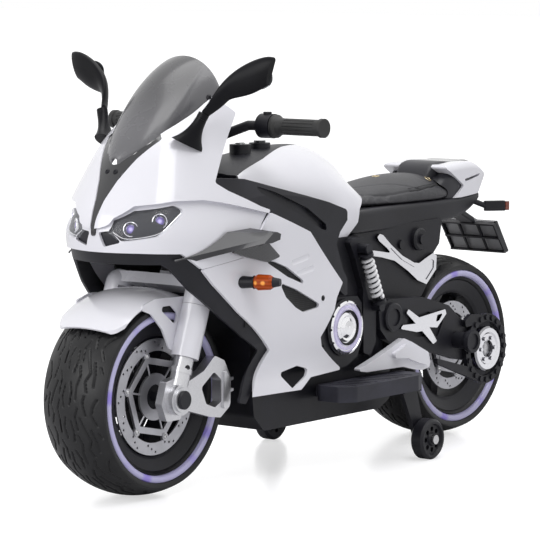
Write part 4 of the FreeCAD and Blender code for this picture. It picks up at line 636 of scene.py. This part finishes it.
def bead(bm, points, radius):
    """Adds a round bead that follows points on one smooth line."""
    curve = bpy.data.curves.new("bead", "CURVE")
    curve.dimensions = "3D"
    curve.bevel_depth = radius
    curve.bevel_resolution = 2
    curve.resolution_u = 6
    curve.use_fill_caps = True
    line = curve.splines.new("NURBS")
    line.points.add(len(points) - 1)
    for knot, point in zip(line.points, points):
        knot.co = (*point, 1.0)
    line.order_u = 3
    line.use_endpoint_u = True
    holder = bpy.data.objects.new("bead", curve)
    mesh = bpy.data.meshes.new_from_object(holder)
    bm.from_mesh(mesh)
    bpy.data.objects.remove(holder)
    bpy.data.curves.remove(curve)
    bpy.data.meshes.remove(mesh)


def meet(node, start, aim):
    """Whether, where and facing which way a line from start to aim first meets a CAD node."""
    start, aim = Vector(start), Vector(aim)
    hit, place, normal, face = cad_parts[node].ray_cast(
        start, (aim - start).normalized(), depsgraph=bpy.context.evaluated_depsgraph_get())
    return hit, place, normal


def touch(node, start, aim):
    """Place and outward direction of a piece that is seated on a CAD node."""
    hit, place, normal = meet(node, start, aim)
    if not hit:
        raise RuntimeError("No place for a piece on " + node)
    return place, normal


def between(table, x):
    """Values of a table of rows at x, which the first column counts down."""
    if x >= table[0][0]:
        return table[0][1:]
    for low, high in zip(table, table[1:]):
        if low[0] >= x >= high[0]:
            share = (x - low[0]) / (high[0] - low[0])
            return [a + (b - a) * share for a, b in zip(low[1:], high[1:])]
    return table[-1][1:]


# Tyres: grooves as lines of (share of a repeat, across), sections as (radius, across)

GROOVES = [
    [(0.02, 0.005), (0.20, 0.008), (0.34, 0.004)],
    [(0.10, 0.017), (0.30, 0.017), (0.44, 0.021), (0.58, 0.017)],
    [(0.22, 0.035), (0.36, 0.031), (0.50, 0.038), (0.84, 0.024)],
    [(0.30, 0.046), (0.46, 0.046), (0.66, 0.041)],
    [(0.48, 0.007), (0.62, 0.010), (0.80, 0.006)],
    [(0.66, 0.018), (0.86, 0.015), (0.98, 0.020)],
    [(0.72, 0.052), (0.88, 0.044), (1.02, 0.047), (1.12, 0.053)],
    [(0.88, 0.034), (1.06, 0.029), (1.16, 0.032)],
    [(0.52, 0.056), (0.60, 0.052)],
]
TYRE_HALF, TYRE_SHOULDER, TYRE_LANES, TYRE_TURNS = 0.064, 0.146, 44, 810
TYRE_WALL = [
    (0.1445, 0.0642), (0.1425, 0.0639), (0.1388, 0.0632), (0.1372, 0.0622), (0.1370, 0.0545),
    (0.1365, 0.0540), (0.1250, 0.0540), (0.1245, 0.0545), (0.1243, 0.0572), (0.1232, 0.0576),
    (0.1210, 0.0552), (0.1182, 0.0522),
]
RING_SECTION = [
    (0.1253, 0.0543), (0.1367, 0.0543), (0.1367, 0.0604), (0.1353, 0.0626), (0.1332, 0.0637),
    (0.1304, 0.0638), (0.1276, 0.0629), (0.1258, 0.0611), (0.1253, 0.0543),
]
RING_TURNS = 180


def line_distance(p, a, b):
    """Distance of a point in a plane from the line between two others."""
    run = b - a
    share = max(0.0, min(1.0, (p - a).dot(run) / run.length_squared))
    return (p - a - run * share).length


def groove_share(share, across, pitch, half):
    """How deep a place on the tread is cut, 0 to 1."""
    nearest = half
    for lap in (0.0, 1.0):
        spot = Vector(((share + lap) * pitch, abs(across)))
        for line in GROOVES:
            for (u0, a0), (u1, a1) in zip(line, line[1:]):
                if abs(spot.x - (u0 + u1) / 2 * pitch) < pitch * 0.25:
                    ends = Vector((u0 * pitch, a0)), Vector((u1 * pitch, a1))
                    nearest = min(nearest, line_distance(spot, *ends))
    return min(1.0, 1.6 * (1.0 - nearest / half))


def tyre_section(look):
    """Closed section of the tyre as (radius, across), from bead to bead over the crown."""
    top, drop = look.wheel_radius, look.wheel_radius - TYRE_SHOULDER
    bow = (TYRE_HALF ** 2 + drop ** 2) / (2 * drop)
    half = []
    for i in range(TYRE_LANES + 1):
        across = TYRE_HALF * i / TYRE_LANES
        half.append((top - bow + math.sqrt(bow * bow - across * across), across))
    half += TYRE_WALL
    return [(r, -a) for r, a in reversed(half)] + half[1:]


def tyre_piece(end, centre_x, look):
    """Tyre with moulded tread, in place of the plain one."""
    bm = bmesh.new()
    hub = Vector((centre_x, 0.0, look.wheel_radius))
    verts = [bm.verts.new(hub + Vector((r, a, 0.0))) for r, a in tyre_section(look)]
    edges = [bm.edges.new(pair) for pair in zip(verts, verts[1:] + verts[:1])]
    bmesh.ops.spin(bm, geom=verts + edges, cent=hub, axis=(0, 1, 0), dvec=(0, 0, 0), angle=2 * math.pi,
                   steps=TYRE_TURNS, use_merge=True, use_normal_flip=False)
    pitch = 2 * math.pi * look.wheel_radius / look.tread_repeats
    steps = TYRE_TURNS // look.tread_repeats
    known = {}
    for vert in bm.verts:
        arm = vert.co - hub
        across, arm.y = arm.y, 0.0
        if arm.length < TYRE_SHOULDER - 0.0005 or abs(across) > TYRE_HALF - 0.003:
            continue
        turn = round(math.atan2(arm.z, arm.x) / (2 * math.pi) * TYRE_TURNS)
        if across < 0:
            turn += steps // 2
        key = (turn % steps, round(abs(across) * 1e5))
        if key not in known:
            known[key] = groove_share(key[0] / steps, across, pitch, look.groove_half)
        vert.co -= arm.normalized() * known[key] * look.tread_depth
    piece = new_piece(end + "_tyre_tread", bm, end + "_wheel", "tyre_" + end, 50.0)
    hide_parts(end + "_tyre")


def ring_piece(end, centre_x, look):
    """Domed diffuser of the light ring in each wall of a tyre, in place of the flat ones."""
    bm = bmesh.new()
    for side in (1, -1):
        lathe(bm, RING_SECTION, (centre_x, 0.0, look.wheel_radius), (0, side, 0), RING_TURNS)
    piece = new_piece(end + "_ring_diffusers", bm, end + "_wheel", "ring_" + end, 50.0)
    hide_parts(end + "_light_rings")


# Operators

class MOTORBIKE_OT_finishes(bpy.types.Operator):
    """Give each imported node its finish"""

    bl_idname = "motorbike.finishes"
    bl_label = "Finishes"

    def execute(self, context):
        make_finishes(context.scene.motorbike)
        for finish, names in NODE_FINISH.items():
            for name in names:
                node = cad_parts[name]
                node.data.materials.clear()
                node.data.materials.append(FINISHES[finish])
                for face in node.data.polygons:
                    face.use_smooth = True
                node.data.set_sharp_from_angle(angle=math.radians(28))
        return {"FINISHED"}


class MOTORBIKE_OT_tyres(bpy.types.Operator):
    """Build both tyres with their tread and light rings"""

    bl_idname = "motorbike.tyres"
    bl_label = "Tyres"

    def execute(self, context):
        look = context.scene.motorbike
        for build in (tyre_piece, ring_piece):
            for end, way in WHEELS:
                build(end, way * look.half_base, look)
        return {"FINISHED"}


# Seat: lines as (station, outward)

SEAT_FOOT, SEAT_FRONT, SEAT_FLOOR, SEAT_BACK = 0.4365, -0.0968, 0.4322, -0.340
SEAT_BACK_SWELL, SEAT_FRAMES = 0.0022, 20
INNER_SEAM = [(-0.118, 0.012), (-0.160, 0.024), (-0.215, 0.043), (-0.262, 0.063), (-0.288, 0.071)]
OUTER_SEAM = [(-0.104, 0.036), (-0.123, 0.046), (-0.158, 0.060), (-0.205, 0.067), (-0.276, 0.0695),
              (-0.320, 0.066), (-0.350, 0.057), (-0.364, 0.046)]
SEAMS = [(INNER_SEAM, 0.0016, 0.75), (OUTER_SEAM, 0.0020, 1.0)]
STITCH_FROM, STITCH_TO, STITCH_STEP, STITCH_SLANT, STITCH_R = -0.250, -0.358, 0.0042, 0.0018, 0.0008
STITCH_IN, STITCH_OUT = 0.0054, 0.0008
EYELETS = [(-0.240, 0.0), (-0.341, 0.041), (-0.341, -0.041)]
EYELET_R, EYELET_ROLL, EYELET_LIFT = 0.0060, (0.0009, 0.0005), 0.0003
EYELET_HOLE = [(0.0, 0.0004), (0.0048, 0.0003), (0.0052, -0.0010), (0.0, -0.0010)]


class MOTORBIKE_OT_seat(bpy.types.Operator):
    """Blow up the seat's cover from its solid, sew its seams and set its eyelets"""

    bl_idname = "motorbike.seat"
    bl_label = "Seat"

    def execute(self, context):
        look = context.scene.motorbike
        cover = self.blank(look)
        self.inflate(context, cover, look)
        self.refine(cover)
        tree = self.sew(cover, look)
        dress(cover, "chassis", "leather", 60.0)
        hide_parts("seat_cushion")
        self.stitches(tree)
        self.eyelets(tree)
        return {"FINISHED"}

    def blank(self, look):
        """Slightly shrunk copy of the solid with an even mesh."""
        bm = bmesh.new()
        bm.from_mesh(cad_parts["seat_cushion"].data)
        bmesh.ops.remove_doubles(bm, verts=bm.verts[:], dist=1e-5)
        bm.normal_update()
        for vert in bm.verts:
            pull = vert.normal * look.seat_pull
            if vert.co.z < SEAT_FOOT:
                pull.z = 0.0
            vert.co -= pull
        cover = link_mesh("seat_cover", bm)
        remesh = cover.modifiers.new("even_mesh", "REMESH")
        remesh.mode = "VOXEL"
        remesh.voxel_size = look.seat_voxel
        apply_modifiers(cover)
        return cover

    def inflate(self, context, cover, look):
        """Cloth under pressure, held along its foot, then capped."""
        start = [vert.co.copy() for vert in cover.data.vertices]
        foot = cover.vertex_groups.new(name="foot")
        foot.add([i for i, place in enumerate(start) if place.z < SEAT_FOOT], 1.0, "REPLACE")
        cloth = cover.modifiers.new("air", "CLOTH")
        cloth.settings.vertex_group_mass = "foot"
        cloth.settings.use_pressure = True
        cloth.settings.uniform_pressure_force = look.seat_pressure
        cloth.settings.effector_weights.gravity = 0.0
        for number in range(1, SEAT_FRAMES + 1):
            context.scene.frame_set(number)
        apply_modifiers(cover)
        context.scene.frame_set(1)
        cover.vertex_groups.clear()
        for vert, place in zip(cover.data.vertices, start):
            most = SEAT_BACK_SWELL if place.x < SEAT_BACK else look.seat_swell
            move = vert.co - place
            if move.length > most:
                vert.co = place + move.normalized() * most

    def refine(self, cover):
        """One subdivision, then the cover is kept off the tank and the tail base."""
        smoother = cover.modifiers.new("smoother", "SUBSURF")
        smoother.levels = 1
        smoother.render_levels = 1
        apply_modifiers(cover)
        for vert in cover.data.vertices:
            vert.co.z = max(SEAT_FLOOR, vert.co.z)
            vert.co.x = min(SEAT_FRONT, vert.co.x)

    def sew(self, cover, look):
        """Presses the seams into the cover."""
        bm = bmesh.new()
        bm.from_mesh(cover.data)
        bm.normal_update()
        moves = []
        for vert in bm.verts:
            if vert.co.z < SEAT_FOOT + 0.002:
                continue
            x, out, steep = vert.co.x, abs(vert.co.y), max(0.35, vert.normal.z)
            press = 0.0
            for seam, width, strength in SEAMS:
                if seam[-1][0] <= x <= seam[0][0]:
                    off = (out - between(seam, x)[0]) / steep
                    press = max(press, strength * math.exp(-(off / width) ** 2))
            if press > 0.01:
                moves.append((vert, vert.normal * press * look.seam_depth))
        for vert, move in moves:
            vert.co -= move
        bm.to_mesh(cover.data)
        tree = BVHTree.FromBMesh(bm)
        bm.free()
        return tree

    def over(self, tree, x, y):
        """Point and direction of the cover below a place."""
        place, normal, face, distance = tree.ray_cast(Vector((x, y, 0.6)), Vector((0, 0, -1)))
        return place, normal

    def stitches(self, tree):
        """Short slanted stitches across the rear half of each outer seam."""
        bm = bmesh.new()
        for side in (1, -1):
            x = STITCH_FROM
            while x > STITCH_TO:
                out = between(OUTER_SEAM, x)[0]
                a = self.over(tree, x, side * (out - STITCH_IN))[0]
                b = self.over(tree, x - STITCH_SLANT, side * (out - STITCH_OUT))[0]
                turn_to = Vector((0, 0, 1)).rotation_difference(b - a).to_matrix().to_4x4()
                middle = Matrix.Translation((a + b) / 2 + Vector((0, 0, STITCH_R / 4)))
                bmesh.ops.create_cone(bm, cap_ends=True, segments=6, radius1=STITCH_R, radius2=STITCH_R,
                                      depth=(b - a).length, matrix=middle @ turn_to)
                x -= STITCH_STEP
        new_piece("seat_stitches", bm, "chassis", "thread")

    def eyelets(self, tree):
        """Brass eyelets, each a rolled ring round a dark hole."""
        rings, holes = bmesh.new(), bmesh.new()
        wide, tall = EYELET_ROLL
        roll = [(EYELET_R + wide * math.cos(a), EYELET_LIFT + tall * math.sin(a))
                for a in (2 * math.pi * i / 12 for i in range(13))]
        for x, y in EYELETS:
            spot, normal = self.over(tree, x, y)
            lathe(rings, roll, spot, normal, 32)
            lathe(holes, EYELET_HOLE, spot, normal, 24)
        new_piece("seat_eyelets", rings, "chassis", "brass", 60.0)
        new_piece("seat_eyelet_holes", holes, "chassis", "pit")


# Headlamps: sections of a projector as (share of its radius, along), and the bright strip on the left side

PROJECTOR_R = 0.0118
BEZEL = [(0.76, -0.0040), (1.02, -0.0040), (1.04, 0.0002), (1.0, 0.0010), (0.93, 0.0013), (0.85, 0.0004),
         (0.76, -0.0040)]
CORE = [(0.0, 0.0014), (0.25, 0.0013), (0.5, 0.0008), (0.68, 0.0), (0.78, -0.0014), (0.78, -0.0040),
        (0.0, -0.0040)]
LAMP_STRIP = [(0.5000, 0.0332, 0.4317), (0.4975, 0.0425, 0.4257), (0.4929, 0.0539, 0.4205),
              (0.4777, 0.0811, 0.4240), (0.4588, 0.0999, 0.4300), (0.4420, 0.1050, 0.4440),
              (0.4217, 0.1097, 0.4604)]
STRIP_INSET, STRIP_R = 0.0032, 0.0009
STRIP_SWING = (20.0, 63.0)


class MOTORBIKE_OT_headlamps(bpy.types.Operator):
    """Build the headlamps' projectors, bezels and bright strips"""

    bl_idname = "motorbike.headlamps"
    bl_label = "Headlamps"

    def execute(self, context):
        bezels, cores, strips = bmesh.new(), bmesh.new(), bmesh.new()
        first, last = LAMP_STRIP[0][1], LAMP_STRIP[-1][1]
        for side in (1, -1):
            for (x, y, z), (nx, ny, nz) in PROJECTORS:
                spot, out = Vector((x, y * side, z)), Vector((nx, ny * side, nz)).normalized()
                for bm, section in ((bezels, BEZEL), (cores, CORE)):
                    lathe(bm, [(PROJECTOR_R * r, a) for r, a in section], spot, out, 40)
            path = []
            for x, y, z in LAMP_STRIP:
                share = (y - first) / (last - first)
                swing = math.radians(STRIP_SWING[0] + (STRIP_SWING[1] - STRIP_SWING[0]) * share)
                along, across = x - STRIP_INSET * math.cos(swing), y - STRIP_INSET * math.sin(swing)
                path.append((along, side * across, z))
            bead(strips, path, STRIP_R)
        new_piece("headlamp_bezels", bezels, "chassis", "chrome")
        new_piece("headlamp_projectors", cores, "chassis", "violet")
        new_piece("headlamp_strips", strips, "chassis", "chrome")
        return {"FINISHED"}


# Mirror glasses: turn about the upright, place of the line that finds the seat, half sizes and thickness

MIRROR_SIN, MIRROR_COS = 0.1187, 0.9929
MIRROR_Y, MIRROR_Z, MIRROR_BEHIND, MIRROR_AHEAD = 0.173, 0.672, 0.20, 0.32
GLASS_HALF, GLASS_SQUARE, GLASS_SUNK, GLASS_THICK, GLASS_EDGE = (0.033, 0.0195), 0.8, 0.0005, 0.0013, 0.0006


class MOTORBIKE_OT_mirrors(bpy.types.Operator):
    """Set a silvered glass in the back of each mirror"""

    bl_idname = "motorbike.mirrors"
    bl_label = "Mirror glasses"

    def execute(self, context):
        for name, side in (("left", 1), ("right", -1)):
            body = "mirror_" + name
            across = Vector((-MIRROR_SIN, MIRROR_COS * side, 0.0))
            look_back = Vector((-MIRROR_COS, -MIRROR_SIN * side, 0.0))
            place, normal = touch(body, (MIRROR_BEHIND, MIRROR_Y * side, MIRROR_Z),
                                  (MIRROR_AHEAD, MIRROR_Y * side, MIRROR_Z))
            bm = bmesh.new()
            rim = bmesh.ops.create_circle(bm, cap_ends=True, segments=56, radius=1.0)["verts"]
            for vert in rim:
                turn = math.atan2(vert.co.y, vert.co.x)
                wide, tall = (half * math.copysign(abs(part) ** GLASS_SQUARE, part)
                              for half, part in zip(GLASS_HALF, (math.cos(turn), math.sin(turn))))
                vert.co = place + across * wide + Vector((0, 0, tall)) - look_back * GLASS_SUNK
            grown = bmesh.ops.extrude_face_region(bm, geom=bm.faces[:])
            front = [item for item in grown["geom"] if isinstance(item, bmesh.types.BMVert)]
            bmesh.ops.translate(bm, verts=front, vec=look_back * GLASS_THICK)
            edges = [edge for edge in bm.edges if all(vert in front for vert in edge.verts)]
            bmesh.ops.bevel(bm, geom=edges, offset=GLASS_EDGE, offset_type="OFFSET", affect="EDGES",
                            segments=2, profile=0.5, material=-1)
            new_piece("mirror_glass_" + name, bm, body, "mirror")
        return {"FINISHED"}


# Gauze inside the fairing: its reach along and up, where its lines start, its place in an opening before
# smoothing, its gap and its thickness

GAUZE_LOW, GAUZE_HIGH = (0.104, 0.270), (0.300, 0.400)
GAUZE_START, GAUZE_OPEN, GAUZE_GAP, GAUZE_WALL, GAUZE_ROUNDS = 0.060, 0.120, 0.0006, 0.0008, 60


class MOTORBIKE_OT_gauze(bpy.types.Operator):
    """Line the fairing's side vents with black gauze"""

    bl_idname = "motorbike.gauze"
    bl_label = "Vent gauze"

    def execute(self, context):
        for name, side in (("left", 1), ("right", -1)):
            bm = bmesh.new()
            bmesh.ops.create_grid(bm, x_segments=38, y_segments=26, size=0.5)
            open_verts = []
            for vert in bm.verts:
                x, z = (low + (high - low) * (share + 0.5)
                        for low, high, share in zip(GAUZE_LOW, GAUZE_HIGH, vert.co.xy))
                hit, place, normal = meet("fairing_" + name, (x, side * GAUZE_START, z), (x, side, z))
                if hit:
                    vert.co = place - Vector((0, side * GAUZE_GAP, 0))
                else:
                    vert.co = (x, side * GAUZE_OPEN, z)
                    open_verts.append(vert)
            for turn in range(GAUZE_ROUNDS):
                bmesh.ops.smooth_vert(bm, verts=open_verts, factor=0.5, use_axis_x=False, use_axis_y=True,
                                      use_axis_z=False)
            bmesh.ops.recalc_face_normals(bm, faces=bm.faces[:])
            bmesh.ops.solidify(bm, geom=bm.faces[:], thickness=GAUZE_WALL)
            new_piece("vent_gauze_" + name, bm, "chassis", "gauze")
        return {"FINISHED"}


# Fasteners: node, start and aim of the line that finds their seat on the left side, head radius and height

BODY_BOLTS = [
    ("windshield", (0.3077, 0.120, 0.655), (0.3077, 0.060, 0.632), 0.0040, 0.0022),
    ("nose_trim", (0.530, 0.0084, 0.552), (0.4636, 0.0084, 0.5235), 0.0036, 0.0018),
    ("fairing_left", (0.100, 0.260, 0.300), (0.100, 0.000, 0.300), 0.0038, 0.0018),
]
FORK_BOLTS = [("fork_legs", (0.397, 0.160, 0.212), (0.397, 0.0, 0.212), 0.0036, 0.0016)]
SPIDER = [
    ("front_disc_bolts", "front_wheel", 1.0, 0.070, (1, -1)),
    ("rear_disc_bolts", "rear_wheel", -1.0, 0.056, (1,)),
]
SPIDER_TURN, SPIDER_FACE, SPIDER_BOLT = 12.0, 0.0456, (0.0040, 0.0022)
BAR_X, BAR_Z, BAR_BEYOND = 0.202, 0.588, 0.30
BAR_RING = [(0.0030, -0.0010), (0.0074, -0.0010), (0.0074, 0.0008), (0.0062, 0.0013), (0.0036, 0.0008),
            (0.0030, -0.0010)]


class MOTORBIKE_OT_fasteners(bpy.types.Operator):
    """Fit the discs' bolts, the screws of screen and trim, and the bar's end rings"""

    bl_idname = "motorbike.fasteners"
    bl_label = "Fasteners"

    def execute(self, context):
        look = context.scene.motorbike
        for name, body, way, reach, sides in SPIDER:
            bm = bmesh.new()
            for side in sides:
                for i in range(6):
                    turn = math.radians(60 * i + SPIDER_TURN)
                    spot = (way * look.half_base + reach * math.cos(turn), side * SPIDER_FACE,
                            look.wheel_radius + reach * math.sin(turn))
                    bolt(bm, spot, (0, side, 0), *SPIDER_BOLT)
            new_piece(name, bm, body, "steel")
        self.screws("body_screws", BODY_BOLTS, "chassis", "black_plastic", "black")
        self.screws("fork_screws", FORK_BOLTS, "steering", "black_plastic", "black")
        self.bar_ends()
        return {"FINISHED"}

    def screws(self, name, table, body, slot, finish):
        """Mirrored screws, each seated on its node."""
        bm = bmesh.new()
        for node, start, aim, radius, height in table:
            for side in (1, -1):
                mirror = Matrix.Diagonal((1, side, 1))
                other = node.replace("left", "right") if side < 0 else node
                place, normal = touch(other, mirror @ Vector(start), mirror @ Vector(aim))
                bolt(bm, place, normal, radius, height)
        new_piece(name, bm, body, finish)

    def bar_ends(self):
        """Rolled ring round the hole in each end of the bar."""
        bm = bmesh.new()
        for side in (1, -1):
            place, normal = touch("handlebar", (BAR_X, side * BAR_BEYOND, BAR_Z), (BAR_X, 0.0, BAR_Z))
            lathe(bm, BAR_RING, place, normal, 28)
        new_piece("bar_end_rings", bm, "steering", "satin")


# Stage: lamps as (name, place, size, power), the sky's strength for scattered and seen light, and the camera

LAMPS = [
    ("key", (1.4, 2.6, 4.4), 2.4, 60.0),
    ("fill", (4.2, -0.8, 1.7), 2.6, 66.0),
    ("top", (-0.6, 0.3, 4.2), 3.4, 92.0),
]
LAMP_AIM = (0, 0, 0.3)
SKY_SCATTERED, SKY_SEEN, FLOOR_GLOW = 0.45, 1.0, 0.58
CAMERA_YAW, CAMERA_PITCH, CAMERA_AWAY, CAMERA_AIM = 51.6, 6.0, 5.106, (0.060, 0.0, 0.334)
SENSOR_MM, FOCUS_PIXELS, FRAME_PIXELS = 36.0, 3020.0, 540.0


class MOTORBIKE_OT_stage(bpy.types.Operator):
    """Build the floor, lights and camera"""

    bl_idname = "motorbike.stage"
    bl_label = "Stage"

    def execute(self, context):
        self.floor()
        self.lights(context)
        self.camera(context)
        return {"FINISHED"}

    def floor(self):
        bm = bmesh.new()
        bmesh.ops.create_grid(bm, x_segments=8, y_segments=8, size=30.0)
        floor = link_mesh("studio_floor", bm)
        g = Graph("studio_white")
        seen = g.node("ShaderNodeLightPath", {}, {}, "Is Camera Ray")
        light = g.node("ShaderNodeCombineColor", {}, {"Red": seen, "Green": seen, "Blue": seen})
        floor.data.materials.append(
            g.feed(Base_Color=rgba((0.74, 0.74, 0.76)), Roughness=0.20 + 0.04 * g.noise(3.0),
                   Specular_IOR_Level=0.5, Emission_Color=light, Emission_Strength=FLOOR_GLOW))

    def lights(self, context):
        world = bpy.data.worlds.new("studio")
        world.use_nodes = True
        sky = Tree(world.node_tree)
        path = sky.tree.nodes.new("ShaderNodeLightPath")
        seen = Value(sky, path.outputs["Is Camera Ray"])
        for other in ("Is Glossy Ray", "Is Transmission Ray"):
            seen = sky.math("MAXIMUM", seen, Value(sky, path.outputs[other]))
        level = sky.node("ShaderNodeMapRange", {},
                         {"Value": seen, "To Min": SKY_SCATTERED, "To Max": SKY_SEEN})
        background = sky.tree.nodes["Background"]
        background.inputs["Color"].default_value = rgba((1.0, 1.0, 1.0))
        sky.put(level, background.inputs["Strength"])
        context.scene.world = world
        for name, spot, size, power in LAMPS:
            lamp = bpy.data.lights.new(name, "AREA")
            lamp.energy = power
            lamp.size = size
            stand = bpy.data.objects.new(name, lamp)
            stand.location = spot
            stand.rotation_euler = (Vector(LAMP_AIM) - Vector(spot)).to_track_quat("-Z", "Y").to_euler()
            context.scene.collection.objects.link(stand)

    def camera(self, context):
        yaw, pitch = math.radians(CAMERA_YAW), math.radians(CAMERA_PITCH)
        back = Vector((math.sin(yaw) * math.cos(pitch), math.cos(yaw) * math.cos(pitch), math.sin(pitch)))
        data = bpy.data.cameras.new("photo_camera")
        data.sensor_width = SENSOR_MM
        data.lens = FOCUS_PIXELS * SENSOR_MM / FRAME_PIXELS
        camera = bpy.data.objects.new("photo_camera", data)
        camera.location = Vector(CAMERA_AIM) + back * CAMERA_AWAY
        camera.rotation_euler = back.to_track_quat("Z", "Y").to_euler()
        context.scene.collection.objects.link(camera)
        context.scene.camera = camera
        context.scene.view_settings.view_transform = "Standard"


class MOTORBIKE_PT_panel(bpy.types.Panel):
    """Sizes, colours and build steps"""

    bl_idname = "MOTORBIKE_PT_panel"
    bl_label = "Motorbike"
    bl_space_type = "VIEW_3D"
    bl_region_type = "UI"
    bl_category = "Motorbike"

    def draw(self, context):
        look = context.scene.motorbike
        for name in look.bl_rna.properties.keys():
            if name not in ("rna_type", "name"):
                self.layout.prop(look, name)
        for operator in STEPS:
            self.layout.operator(operator.bl_idname)


STEPS = (MOTORBIKE_OT_finishes, MOTORBIKE_OT_tyres, MOTORBIKE_OT_seat, MOTORBIKE_OT_headlamps,
         MOTORBIKE_OT_mirrors, MOTORBIKE_OT_gauze, MOTORBIKE_OT_fasteners, MOTORBIKE_OT_stage)
CLASSES = (MotorbikeLook,) + STEPS + (MOTORBIKE_PT_panel,)


def register():
    for cls in CLASSES:
        bpy.utils.register_class(cls)
    bpy.types.Scene.motorbike = bpy.props.PointerProperty(type=MotorbikeLook)


def unregister():
    del bpy.types.Scene.motorbike
    for cls in reversed(CLASSES):
        bpy.utils.unregister_class(cls)


def main():
    register()
    bpy.ops.motorbike.finishes()
    bpy.ops.motorbike.tyres()
    bpy.ops.motorbike.seat()
    bpy.ops.motorbike.headlamps()
    bpy.ops.motorbike.mirrors()
    bpy.ops.motorbike.gauze()
    bpy.ops.motorbike.fasteners()
    bpy.ops.motorbike.stage()


if __name__ == "__main__":
    main()
